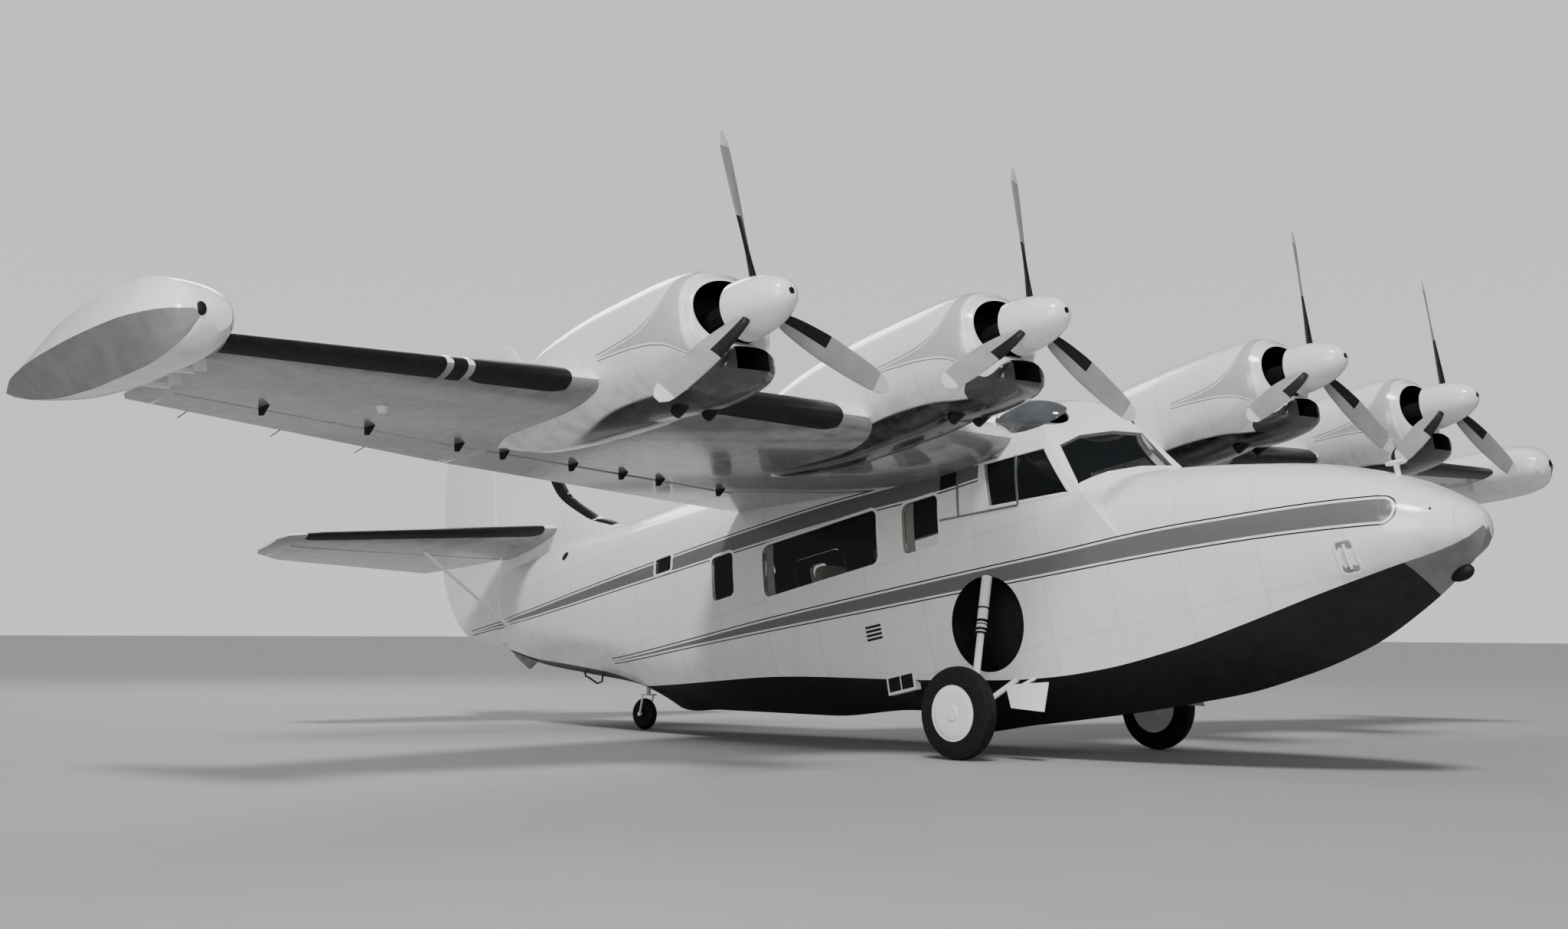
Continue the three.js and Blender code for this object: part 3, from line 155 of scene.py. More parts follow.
# Nacelles: aft of the spinner's point, half width, over and under the axis, share of the sink
ENGINES = [
    ("inner_right", -1.699, -2.053, 2.782, 2.24, 0.110, 1.2),
    ("inner_left", 1.699, -2.053, 2.782, 3.42, 0.110, 1.2),
    ("outer_right", -4.061, -1.837, 2.714, -6.62, 0.0, 1.0),
    ("outer_left", 4.061, -1.837, 2.714, 0.29, 0.0, 1.0),
]
NACELLE_ROWS = [
    (0.600, 0.330, 0.270, 0.300, 0.0),
    (0.640, 0.375, 0.318, 0.350, 0.0),
    (0.740, 0.415, 0.350, 0.400, 0.1),
    (1.000, 0.440, 0.368, 0.440, 0.3),
    (1.500, 0.445, 0.365, 0.450, 0.6),
    (2.000, 0.415, 0.335, 0.420, 0.9),
    (2.600, 0.330, 0.200, 0.350, 1.0),
    (3.100, 0.120, -0.040, 0.200, 1.0),
]
CHIN_ROWS = [
    (0.425, 0.165, -0.235, 0.400),
    (0.455, 0.215, -0.215, 0.450),
    (0.560, 0.262, -0.160, 0.490),
    (0.800, 0.290, -0.100, 0.510),
    (1.500, 0.200, -0.100, 0.440),
]
BAY = (0.690, 1.350, 0.022)
MOUTH = (0.300, 0.205, 0.035)
CHIN_INLET = (0.135, 0.385, 0.238)
PROP_RADIUS = 1.146
BLADE_PLANE = 0.307
SPINNER_LENGTH = 0.455
SPINNER_RADIUS = 0.196
BLADE_ROWS = [
    (0.110, 0.066, 0.056, 60),
    (0.330, 0.138, 0.032, 44),
    (0.620, 0.172, 0.020, 32),
    (0.900, 0.160, 0.013, 25),
    (1.090, 0.118, 0.009, 21),
    (PROP_RADIUS, 0.048, 0.006, 20),
]

# Floats: aft of the nose, deck x, keel x, chine x, half width
FLOAT_ROWS = [
    (0.000, 7.320, 7.450, 7.405, 0.030),
    (0.045, 7.200, 7.560, 7.465, 0.130),
    (0.170, 7.140, 7.655, 7.520, 0.210),
    (0.420, 7.120, 7.722, 7.550, 0.255),
    (0.850, 7.120, 7.742, 7.570, 0.265),
    (1.350, 7.124, 7.722, 7.560, 0.235),
    (1.930, 7.170, 7.640, 7.510, 0.140),
    (2.410, 7.330, 7.480, 7.430, 0.020),
]
FLOAT_NOSE = (-0.700, 2.580, 0.08)

# Main wheel: distance from the centre line, then radius, width and bead radius of the tyre
WHEEL_X = 1.190
TYRE = (0.345, 0.215, 0.207)

# Seats: name, s, x, width
SEATS = [
    ("pilot_seat", -0.830, 0.330, 0.420),
    ("cabin_seat_front", 0.640, 0.370, 0.420),
    ("cabin_seat_rear", 1.640, 0.325, 0.400),
]

# Upright double rows of rivets on the hull: s, from h, to h
RIVET_ROWS = [(-1.09, 0.62, 1.74), (0.765, 0.76, 1.62), (2.02, 1.02, 1.62), (3.95, 1.26, 2.40),
              (4.60, 1.40, 2.55), (5.45, 1.66, 2.70), (-2.30, 0.62, 1.50), (-1.72, 0.56, 1.62)]
RIVET_LIFT = 0.0005

# Rails of the sliding panes and the divider of the cockpit window, from and to as (s, h)
WINDOW_RAILS = [
    [(0.293, 2.257), (-0.346, 2.247)],
    [(0.238, 1.884), (-0.566, 1.815)],
    [(-0.565, 1.820), (-0.540, 2.212)],
    [(0.040, 1.878), (0.050, 2.250)],
]
# Black bands round the main leg: share of the way down, height, how far they stand out
LEG_BANDS = [(0.30, 0.012, 0.003), (0.42, 0.02, 0.004), (0.46, 0.008, 0.003), (0.50, 0.02, 0.004),
             (0.54, 0.012, 0.006)]
# Places along the wing: hinge fairings and static rods
FAIRING_SPANS = (1.62, 2.34, 2.76, 3.30, 4.00, 4.45, 5.30, 6.20)
ROD_SPANS = (4.95, 5.75, 6.55)

# Measured edges of the painted bands on the hull, as (s, h)
LOW_BAND_TOP = [(-3.46, 1.185), (-3.05, 1.232), (-2.37, 1.289), (-1.6, 1.345), (-1.02, 1.365),
                (0.03, 1.414), (1.2, 1.464), (2.48, 1.512), (3.5, 1.540), (4.31, 1.575), (4.80, 1.618)]
LOW_BAND_FOOT = [(-3.46, 1.030), (-3.05, 1.080), (-2.37, 1.146), (-1.57, 1.205), (-1.0, 1.240),
                 (0.09, 1.305), (1.22, 1.371), (2.49, 1.448), (3.5, 1.510), (4.31, 1.562), (4.80, 1.614)]
HIGH_BAND_TOP = [(-0.20, 2.235), (0.37, 2.262), (1.0, 2.295), (1.8, 2.325), (2.72, 2.333),
                 (3.94, 2.338), (5.95, 2.369), (6.94, 2.415), (7.71, 2.442)]
HIGH_BAND_FOOT = [(-0.20, 2.130), (0.37, 2.130), (1.0, 2.158), (1.66, 2.182), (2.71, 2.202),
                  (3.93, 2.226), (5.96, 2.312), (6.96, 2.393), (7.71, 2.440)]
# Nose of the lower band, half a circle: its centre, radius, and the thin line round it
BAND_NOSE = {"s": -3.39, "h": 1.114, "radius": 0.078, "line": (0.094, 0.103)}
# Flash on each nacelle, counted from the spinner's point
FLASH_TOP = [(0.64, 0.345), (0.70, 0.300), (0.73, 0.190), (0.80, 0.080), (0.90, 0.012), (1.0, -0.022),
             (1.2, -0.048), (1.42, -0.062)]
FLASH_FOOT = [(0.64, -0.260), (0.71, -0.185), (0.83, -0.125), (1.0, -0.094), (1.2, -0.076), (1.42, -0.066)]


# Colour and shading nodes


def shade(hexed):
    """Linear colour of an sRGB hex value."""
    parts = [int(hexed[i:i + 2], 16) / 255 for i in (0, 2, 4)]
    return tuple(c / 12.92 if c <= 0.04045 else ((c + 0.055) / 1.055) ** 2.4 for c in parts) + (1.0,)


def put(tree, kind, inputs=None, **settings):
    """Adds a node with its settings, its fixed inputs and its links."""
    node = tree.nodes.new(kind)
    for key, value in settings.items():
        setattr(node, key, value)
    for key, value in (inputs or {}).items():
        socket = node.inputs[key]
        if isinstance(value, bpy.types.NodeSocket):
            tree.links.new(value, socket)
        else:
            socket.default_value = value
    return node


def calc(tree, operation, a, b=0.0, c=0.0):
    """One arithmetic step on sockets or numbers."""
    return put(tree, "ShaderNodeMath", {0: a, 1: b, 2: c}, operation=operation).outputs[0]


def step(tree, value, edge, soft=0.0008):
    """0 below the edge and 1 above it."""
    return put(tree, "ShaderNodeMapRange", {0: value, 1: edge - soft, 2: edge + soft, 3: 0.0, 4: 1.0},
               clamp=True).outputs[0]


def mix(tree, share, under, over):
    node = put(tree, "ShaderNodeMix", {"Factor": share}, data_type="RGBA")
    for index, value in ((6, under), (7, over)):
        if isinstance(value, bpy.types.NodeSocket):
            tree.links.new(value, node.inputs[index])
        else:
            node.inputs[index].default_value = value
    return node.outputs[2]


def line_of(tree, value, points):
    """Height of a drawn line over a place along it, from (place, height) points."""
    places = [p[0] for p in points]
    heights = [p[1] for p in points]
    low, high = min(places), max(places)
    bottom, top = min(heights) - 0.01, max(heights) + 0.01
    share = put(tree, "ShaderNodeMapRange", {0: value, 1: low, 2: high}, clamp=True).outputs[0]
    curve = put(tree, "ShaderNodeFloatCurve", {"Value": share})
    track = curve.mapping.curves[0]
    for place, height in points[1:-1]:
        track.points.new((place - low) / (high - low), (height - bottom) / (top - bottom))
    track.points[0].location = (0, (heights[0] - bottom) / (top - bottom))
    track.points[len(points) - 1].location = (1, (heights[-1] - bottom) / (top - bottom))
    curve.mapping.update()
    return put(tree, "ShaderNodeMapRange", {0: curve.outputs[0], 3: bottom, 4: top}).outputs[0]


def noise(tree, vector, scale, detail=3.0, rough=0.55):
    """Cloudy variation; scale counts its patches in a metre."""
    return put(tree, "ShaderNodeTexNoise", {"Vector": vector, "Scale": scale, "Detail": detail,
                                            "Roughness": rough}).outputs[0]


def new_material(name):
    old = bpy.data.materials.get(name)
    if old:
        return old, None, None
    made = bpy.data.materials.new(name)
    made.use_nodes = True
    tree = made.node_tree
    tree.nodes.clear()
    out = put(tree, "ShaderNodeOutputMaterial")
    body = put(tree, "ShaderNodeBsdfPrincipled")
    tree.links.new(body.outputs[0], out.inputs[0])
    return made, tree, body


def airframe_place(tree, origin=(0, 0, 0)):
    """Coordinates in the airframe's frame, counted from origin, from Object coordinates."""
    texture = put(tree, "ShaderNodeTexCoord")
    move = Matrix.Rotation(SIT, 3, "X") @ Vector((0, SHIFT, 0)) - Vector(origin)
    placed = put(tree, "ShaderNodeMapping", {"Vector": texture.outputs["Object"], "Location": move,
                                             "Rotation": (SIT, 0, 0)}, vector_type="POINT")
    parts = put(tree, "ShaderNodeSeparateXYZ", {0: placed.outputs[0]})
    return placed.outputs[0], parts.outputs[0], parts.outputs[1], parts.outputs[2]


def bands_between(tree, s, h, top, foot, line=0.011, white=0.016):
    """Shares of a painted band between two lines and of the thin lines that border it."""
    high = line_of(tree, s, top)
    low = line_of(tree, s, foot)
    inside = calc(tree, "MULTIPLY", step(tree, calc(tree, "SUBTRACT", high, h), 0),
                  step(tree, calc(tree, "SUBTRACT", h, low), 0))
    edges = None
    for gap in (calc(tree, "SUBTRACT", h, high), calc(tree, "SUBTRACT", low, h)):
        edge = calc(tree, "MULTIPLY", step(tree, gap, white),
                    calc(tree, "SUBTRACT", 1.0, step(tree, gap, white + line)))
        edges = edge if edges is None else calc(tree, "MAXIMUM", edges, edge)
    return inside, edges


def between(tree, value, low, high):
    """1 between two edges and 0 outside them."""
    return calc(tree, "MULTIPLY", step(tree, value, low),
                calc(tree, "SUBTRACT", 1.0, step(tree, value, high)))


def seam_marks(tree, across, along, pitch, rivets=0.032, shift=0.0):
    """Thin joints every pitch, and a row of rivet heads on each side of them."""
    wave = calc(tree, "PINGPONG", calc(tree, "ADD", across, 50 * pitch + shift), pitch / 2)
    gap = calc(tree, "SUBTRACT", 1.0, step(tree, wave, 0.0011, 0.0005))
    beside = calc(tree, "SUBTRACT", wave, 0.014)
    run = calc(tree, "SUBTRACT", calc(tree, "PINGPONG", calc(tree, "ADD", along, 50 * rivets), rivets / 2),
               rivets / 4)
    reach = calc(tree, "SQRT", calc(tree, "ADD", calc(tree, "MULTIPLY", beside, beside),
                                    calc(tree, "MULTIPLY", run, run)))
    heads = calc(tree, "SUBTRACT", 1.0, step(tree, reach, 0.0026, 0.0009))
    return gap, heads


def gloss_paint(name, hexed="F4F4F2", origin=(0, 0, 0), marks=None, seams=(), down_shade_and_grime=0.35, sheen=0.16):
    """Gloss aircraft enamel over riveted sheet, a little uneven, with painted shade and grime in patches
    where it faces down.
    sRGB near-white unless told otherwise; roughness of polished enamel."""
    made, tree, body = new_material(name)
    if tree is None:
        return made
    place, x, s, h = airframe_place(tree, origin)
    colour = mix(tree, calc(tree, "MULTIPLY", noise(tree, place, 1.7), 0.35), shade(hexed), shade("DEDEDC"))
    if marks:
        colour = marks(tree, colour, s, h)
    # painted shade: faces that look down are darkened towards 6F6E6A in noisy patches, shade and grime
    # together
    normal = put(tree, "ShaderNodeNewGeometry")
    down = put(tree, "ShaderNodeSeparateXYZ", {0: normal.outputs["Normal"]}).outputs[2]
    below = put(tree, "ShaderNodeMapRange", {0: down, 1: 0.15, 2: -0.9, 3: 0.0, 4: 1.0}).outputs[0]
    down_shade_and_stain = calc(tree, "MULTIPLY", below, put(tree, "ShaderNodeMapRange", {
        0: noise(tree, place, 6.0, 6.0, 0.65), 1: 0.42, 2: 0.72, 3: 0.0, 4: down_shade_and_grime}).outputs[0])
    colour = mix(tree, down_shade_and_stain, colour, shade("6F6E6A"))
    height = calc(tree, "MULTIPLY", noise(tree, place, 2.2, 1.0), 1.0)
    for axes, pitch, shift in seams:
        across, along = {"x": x, "s": s, "h": h}[axes[0]], {"x": x, "s": s, "h": h}[axes[1]]
        gap, heads = seam_marks(tree, across, along, pitch, shift=shift)
        colour = mix(tree, calc(tree, "MULTIPLY", gap, 0.55), colour, shade("55565A"))
        colour = mix(tree, calc(tree, "MULTIPLY", heads, 0.28), colour, shade("77787C"))
        height = calc(tree, "SUBTRACT", height, calc(tree, "MULTIPLY", gap, 0.25))
        height = calc(tree, "ADD", height, calc(tree, "MULTIPLY", heads, 0.2))
    rough = put(tree, "ShaderNodeMapRange", {0: noise(tree, place, 9.0, 4.0), 1: 0.3, 2: 0.7, 3: sheen,
                                             4: sheen + 0.12}).outputs[0]
    bump = put(tree, "ShaderNodeBump", {"Height": height, "Strength": 0.35, "Distance": 0.004})
    for key, value in (("Base Color", colour), ("Roughness", rough), ("Normal", bump.outputs[0])):
        tree.links.new(value, body.inputs[key])
    body.inputs["Coat Weight"].default_value = 0.45
    body.inputs["Coat Roughness"].default_value = 0.06
    body.inputs["IOR"].default_value = 1.5
    return made


def plain(name, hexed, rough, metal=0.0, grain=40.0, depth=0.0004, spread=0.1, second=None, coat=0.0):
    """Any plain finish: a colour that wanders a little, its roughness, and a fine grain in the surface."""
    made, tree, body = new_material(name)
    if tree is None:
        return made
    place, _x, _s, _h = airframe_place(tree)
    wander = noise(tree, place, grain * 0.2, 5.0)
    fine = noise(tree, place, grain * 6, 4.0)
    base = shade(hexed)
    other = shade(second) if second else tuple(c * 0.72 for c in base[:3]) + (1.0,)
    colour = mix(tree, put(tree, "ShaderNodeMapRange", {0: wander, 1: 0.35, 2: 0.7}).outputs[0], base, other)
    roughness = put(tree, "ShaderNodeMapRange", {0: fine, 1: 0.3, 2: 0.7, 3: max(0.02, rough - spread),
                                                 4: min(1.0, rough + spread)}).outputs[0]
    bump = put(tree, "ShaderNodeBump", {"Height": fine, "Strength": 0.4, "Distance": depth})
    for key, value in (("Base Color", colour), ("Roughness", roughness), ("Normal", bump.outputs[0])):
        tree.links.new(value, body.inputs[key])
    body.inputs["Metallic"].default_value = metal
    body.inputs["Coat Weight"].default_value = coat
    body.inputs["Specular IOR Level"].default_value = 0.5 if metal or sum(base[:3]) > 0.2 else 0.22
    return made


def clear_glass(name, hexed, alpha):
    """Tinted acrylic glazing: dark reflections, part of the light comes through."""
    made, tree, body = new_material(name)
    if tree is None:
        return made
    place, _x, _s, _h = airframe_place(tree)
    smear = noise(tree, place, 5.0, 5.0)
    rough = put(tree, "ShaderNodeMapRange", {0: smear, 1: 0.3, 2: 0.8, 3: 0.015, 4: 0.07}).outputs[0]
    tree.links.new(rough, body.inputs["Roughness"])
    tree.links.new(mix(tree, smear, shade(hexed), shade("23282C")), body.inputs["Base Color"])
    body.inputs["IOR"].default_value = 1.49
    body.inputs["Alpha"].default_value = alpha
    body.inputs["Coat Weight"].default_value = 0.6
    return made


def hull_marks(tree, colour, s, h):
    """Two grey bands with thin borders along each side of the hull."""
    grey, border = shade("67686A"), shade("242527")
    for top, foot, start, end in ((LOW_BAND_TOP, LOW_BAND_FOOT, BAND_NOSE["s"], 4.8),
                                  (HIGH_BAND_TOP, HIGH_BAND_FOOT, -0.16, 7.7)):
        inside, edges = bands_between(tree, s, h, top, foot)
        run = between(tree, s, start, end)
        colour = mix(tree, calc(tree, "MULTIPLY", inside, run), colour, grey)
        colour = mix(tree, calc(tree, "MULTIPLY", edges, run), colour, border)
    ds = calc(tree, "SUBTRACT", s, BAND_NOSE["s"])
    dh = calc(tree, "SUBTRACT", h, BAND_NOSE["h"])
    away = calc(tree, "SQRT", calc(tree, "ADD", calc(tree, "MULTIPLY", ds, ds),
                                   calc(tree, "MULTIPLY", dh, dh)))
    ahead = calc(tree, "SUBTRACT", 1.0, step(tree, s, BAND_NOSE["s"]))
    cap = calc(tree, "MULTIPLY", ahead, calc(tree, "SUBTRACT", 1.0, step(tree, away, BAND_NOSE["radius"])))
    rim = calc(tree, "MULTIPLY", ahead, between(tree, away, *BAND_NOSE["line"]))
    colour = mix(tree, cap, colour, grey)
    return mix(tree, rim, colour, border)


def nacelle_marks(tree, colour, s, h):
    """A grey flash that starts behind the cowl ring, the seam of the ring, and soot below."""
    inside, edges = bands_between(tree, s, h, FLASH_TOP, FLASH_FOOT, 0.007, 0.014)
    run = between(tree, s, 0.645, 1.41)
    colour = mix(tree, calc(tree, "MULTIPLY", inside, run), colour, shade("B9BABC"))
    colour = mix(tree, calc(tree, "MULTIPLY", edges, run), colour, shade("63656A"))
    ring = between(tree, s, 0.639, 0.6425)
    colour = mix(tree, calc(tree, "MULTIPLY", ring, 0.7), colour, shade("55565A"))
    # chin bowl in grey, its border climbing aft
    chin_top = line_of(tree, s, [(0.40, -0.20), (0.46, -0.27), (0.56, -0.33), (0.68, -0.30), (0.80, -0.47)])
    chin = calc(tree, "MULTIPLY", step(tree, calc(tree, "SUBTRACT", chin_top, h), 0),
                calc(tree, "SUBTRACT", 1.0, step(tree, s, 0.78)))
    colour = mix(tree, chin, colour, shade("3C3E42"))
    # exhaust soot under the cowl and back along the belly
    belly = line_of(tree, s, [(0.70, -0.47), (0.85, -0.415), (1.3, -0.375), (2.0, -0.40), (3.0, -0.36)])
    below = calc(tree, "SUBTRACT", belly, h)
    soot = put(tree, "ShaderNodeMapRange", {0: below, 1: -0.004, 2: 0.01}).outputs[0]
    soot = calc(tree, "MULTIPLY", soot, between(tree, s, 0.70, 2.95))
    return mix(tree, soot, colour, shade("060607"))


def library():
    """Every finish by a short name. Colours are sRGB; seams are given by axes, spacing and shift."""
    hull_seams = (("sh", 0.61, 0.1), ("hs", 0.94, 0.2))
    wing_seams = (("xs", 0.52, 0.1), ("sx", 0.66, 0.25))
    tail_seams = (("hs", 0.48, 0.1), ("sh", 0.55, 0.2))
    m = {
        # gloss aircraft enamel over riveted sheet: white, faintly uneven, with the grey bands
        "hull": gloss_paint("White enamel with grey bands", marks=hull_marks, seams=hull_seams),
        # the same enamel on wings and tail, with the joints of their sheets
        "wing": gloss_paint("White enamel on wing sheet", seams=wing_seams, down_shade_and_grime=0.6, sheen=0.14),
        "tail": gloss_paint("White enamel on tail sheet", seams=tail_seams, down_shade_and_grime=0.3),
        # the same enamel on small parts
        "white": gloss_paint("White enamel", down_shade_and_grime=0.25),
        # grey in place of the white enamel on the undersides, a painted shade: shiny and stained
        "belly": gloss_paint("Grey painted shade on undersides", "77797C", seams=wing_seams, down_shade_and_grime=0.85, sheen=0.12),
        # graphite bottom paint: near black, half gloss
        "bottom": plain("Graphite bottom paint", "191A1C", 0.42, spread=0.12, second="242528", coat=0.1),
        # the same paint made pale on the bow's bottom facet, painted light where it turns to the light
        "facet": plain("Bottom paint with painted light at the bow", "707275", 0.42, second="7E8083"),
        # neoprene de-icing boots: black, dull
        "boot": plain("De-icer rubber", "121213", 0.42, second="1B1B1C", grain=60, coat=0.1),
        # moulded tyre rubber: dull, a little dusty
        "tyre": plain("Tyre rubber", "151515", 0.72, second="1E1E1D", grain=120, depth=0.0008),
        # brushed steel of small fittings: soft reflections
        "steel": plain("Brushed steel", "9A9C9E", 0.36, 1.0, second="828486"),
        # exhaust steel: browned by heat
        "exhaust": plain("Heat-stained exhaust steel", "3A332E", 0.5, 0.8, second="1C1A19"),
        # sprayed satin paint on fittings; inside the inlets it is painted shade
        "black": plain("Black satin paint and painted shade", "141415", 0.5, second="1D1D1E"),
        # dark primer in the wheel wells: no gloss
        "well": plain("Dark primer in the wells", "4A4B4D", 0.6, second="3A3B3D"),
        # grey primer: flat; on the floats' lower facets and in the cleat recesses it stands for painted shade
        "grey": plain("Grey primer and painted shade", "8A8C8E", 0.55, second="7A7C7E"),
        # woven lining of the cabin walls: flat, soft grain
        "lining": plain("Cabin lining cloth", "A9A49A", 0.85, second="98938A", grain=90, depth=0.001),
        # epoxy paint on the blades: grey and pale, half gloss
        "blade": plain("Grey blade paint", "9B9DA0", 0.34, second="8C8E91", grain=30, coat=0.2),
        "tip": plain("Pale blade tip paint", "D9D9D6", 0.34, second="CFCFCC", coat=0.2),
        # cushion leather: pale, fine grain
        "seat": plain("Cushion leather", "B9B4AA", 0.55, second="A8A297", grain=80, depth=0.0012),
        # woven curtain cloth: pale, no gloss
        "curtain": plain("Curtain cloth", "DAD7CF", 0.9, second="CBC7BE", grain=200, depth=0.001),
        # lens glass over dials: bright, glossy
        "lens": plain("Dial glass", "BFC5C9", 0.08, 0.3, second="9AA1A6", coat=0.8),
        # cast acrylic: nearly clear, and on the roof domes nearly opaque and grey like the sky, a painted
        # reflection
        "glass": clear_glass("Tinted acrylic", "202325", 0.22),
        "dark_glass": clear_glass("Acrylic with painted sky reflection", "6E7173", 0.88),
        # anodised rails of the sliding windows: pale metal
        "frame": plain("Window frame metal", "B8BABB", 0.28, 0.9, second="A5A7A9"),
    }
    for name, x, s, h, *_ in ENGINES:
        # the hull's enamel with the nacelle's flash and soot
        m["nacelle_" + name] = gloss_paint("White enamel nacelle " + name, origin=(x, s, h),
                                           marks=nacelle_marks, seams=(("sh", 0.47, 0.33),), down_shade_and_grime=0.45)
    return m


# Meshes


def pchip(xs, ys, q):
    """Smooth interpolation that never overshoots its rows."""
    xs, ys, q = (np.asarray(v, float) for v in (xs, ys, q))
    gap = np.diff(xs)
    slope = np.diff(ys) / gap
    m = np.zeros(len(xs))
    m[0], m[-1] = slope[0], slope[-1]
    for i in range(1, len(xs) - 1):
        if slope[i - 1] * slope[i] > 0:
            w1, w2 = 2 * gap[i] + gap[i - 1], gap[i] + 2 * gap[i - 1]
            m[i] = (w1 + w2) / (w1 / slope[i - 1] + w2 / slope[i])
    k = np.clip(np.searchsorted(xs, q) - 1, 0, len(gap) - 1)
    t = (q - xs[k]) / gap[k]
    g = gap[k]
    return ((1 + 2 * t) * (1 - t) ** 2 * ys[k] + t * (1 - t) ** 2 * g * m[k]
            + t * t * (3 - 2 * t) * ys[k + 1] + t * t * (t - 1) * g * m[k + 1])


def finer(rows, pitch, smooth=True):
    """Rows of a table at closer places, each column interpolated."""
    rows = np.array(rows, float)
    places = rows[:, 0]
    wanted = set(np.round(places, 5))
    for a, b in zip(places[:-1], places[1:]):
        n = max(1, int(round((b - a) / pitch)))
        wanted |= set(np.round(np.linspace(a, b, n + 1), 5))
    q = np.array(sorted(wanted))
    columns = [pchip(places, rows[:, c], q) if smooth else np.interp(q, places, rows[:, c])
               for c in range(1, rows.shape[1])]
    return np.column_stack([q, *columns])


def offset(ring, grow):
    """Each point of a flat ring moved outwards."""
    ring = np.asarray(ring, float)
    if grow == 0:
        return ring
    before, after = np.roll(ring, 1, 0), np.roll(ring, -1, 0)
    area = (ring[:, 0] * after[:, 1] - after[:, 0] * ring[:, 1]).sum()
    one, two = ring - before, after - ring
    normal = sum(np.column_stack([d[:, 1], -d[:, 0]]) / (np.linalg.norm(d, axis=1)[:, None] + 1e-12)
                 for d in (one, two))
    normal /= np.linalg.norm(normal, axis=1)[:, None] + 1e-12
    return ring + np.sign(area) * grow * normal


def solid(name, verts, faces, ids=None):
    """A mesh object in the airframe's frame, its faces outward."""
    mesh = bpy.data.meshes.new(name)
    mesh.from_pydata([tuple(map(float, v)) for v in verts], [], [tuple(map(int, f)) for f in faces])
    mesh.validate()
    obj = bpy.data.objects.new(name, mesh)
    bpy.context.scene.collection.objects.link(obj)
    if ids is not None:
        for _ in range(max(ids) + 1):
            mesh.materials.append(None)
        mesh.polygons.foreach_set("material_index", ids)
    volume = 0.0
    co = [v.co for v in mesh.vertices]
    for p in mesh.polygons:
        v = p.vertices
        for i in range(1, len(v) - 1):
            volume += co[v[0]].dot(co[v[i]].cross(co[v[i + 1]]))
    if volume < 0:
        mesh.flip_normals()
    return obj


def skin(name, rings, ids=None):
    """A closed skin through rings of equally many points. ids gives each ring segment's material."""
    n = len(rings[0])
    verts = [p for ring in rings for p in ring]
    faces, marks = [], []
    for r in range(len(rings) - 1):
        for i in range(n):
            j = (i + 1) % n
            faces.append((r * n + i, r * n + j, (r + 1) * n + j, (r + 1) * n + i))
            marks.append(ids[i] if ids else 0)
    last = (len(rings) - 1) * n
    faces += [tuple(reversed(range(n))), tuple(last + i for i in range(n))]
    marks += [0, 0]
    return solid(name, verts, faces, marks if ids else None)


def joined(name, objects):
    """One object from several that don't touch each other."""
    verts, faces, count = [], [], 0
    for obj in objects:
        verts += [tuple(v.co) for v in obj.data.vertices]
        faces += [tuple(count + i for i in p.vertices) for p in obj.data.polygons]
        count = len(verts)
        bpy.data.objects.remove(obj)
    return solid(name, verts, faces)


def box(x0, x1, s0, s1, h0, h1):
    return skin("box", [[(x, s, h) for x, h in ((x0, h0), (x1, h0), (x1, h1), (x0, h1))] for s in (s0, s1)])


def rod(a, b, radius, sides=24, end=None):
    """A round bar from a to b."""
    a, b = Vector(a), Vector(b)
    axis = (b - a).normalized()
    side = axis.orthogonal().normalized()
    other = axis.cross(side)
    rings = []
    for p, r in ((a, radius), (b, radius if end is None else end)):
        rings.append([tuple(p + r * (side * math.cos(t) + other * math.sin(t)))
                      for t in (2 * math.pi * i / sides for i in range(sides))])
    return skin("rod", rings)


def prism(outline, x0, x1):
    """An outline in s and h pushed along x."""
    return skin("prism", [[(x, s, h) for s, h in outline] for x in (x0, x1)])


def turned(profile, centre, axis, segments=64):
    """A closed ring or body of revolution from (radius, distance) points."""
    axis = Vector(axis).normalized()
    side = axis.orthogonal().normalized()
    other = axis.cross(side)
    verts, faces = [], []
    n = len(profile)
    for k in range(segments):
        t = 2 * math.pi * k / segments
        out = side * math.cos(t) + other * math.sin(t)
        verts += [tuple(Vector(centre) + out * max(r, 1e-5) + axis * d) for r, d in profile]
    for k in range(segments):
        m = (k + 1) % segments
        for i in range(n):
            j = (i + 1) % n
            faces.append((k * n + i, k * n + j, m * n + j, m * n + i))
    return solid("turned", verts, faces)


def boolean(obj, cutter, operation="DIFFERENCE", keep=False):
    """Cuts, joins or intersects two closed bodies."""
    modifier = obj.modifiers.new("cut", "BOOLEAN")
    modifier.operation = operation
    modifier.solver = "MANIFOLD"
    modifier.object = cutter
    depsgraph = bpy.context.evaluated_depsgraph_get()
    mesh = bpy.data.meshes.new_from_object(obj.evaluated_get(depsgraph))
    obj.modifiers.clear()
    if len(mesh.polygons) == 0:
        raise RuntimeError(f"{obj.name}: {operation} with {cutter.name} left nothing")
    old, obj.data = obj.data, mesh
    bpy.data.meshes.remove(old)
    if not keep:
        bpy.data.objects.remove(cutter)
    return obj


def marked(obj, index, slots):
    """Gives all faces of a body one material slot, so that a cut made with it can look different."""
    obj.data.materials.clear()
    for _ in range(slots):
        obj.data.materials.append(None)
    obj.data.polygons.foreach_set("material_index", [index] * len(obj.data.polygons))
    return obj


def copy_of(obj):
    twin = obj.copy()
    twin.data = obj.data.copy()
    bpy.context.scene.collection.objects.link(twin)
    return twin


def dress(node, material):
    """Gives a node of the frame a finish, its mesh as it is."""
    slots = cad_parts[node].data.materials
    slots.clear()
    slots.append(material)


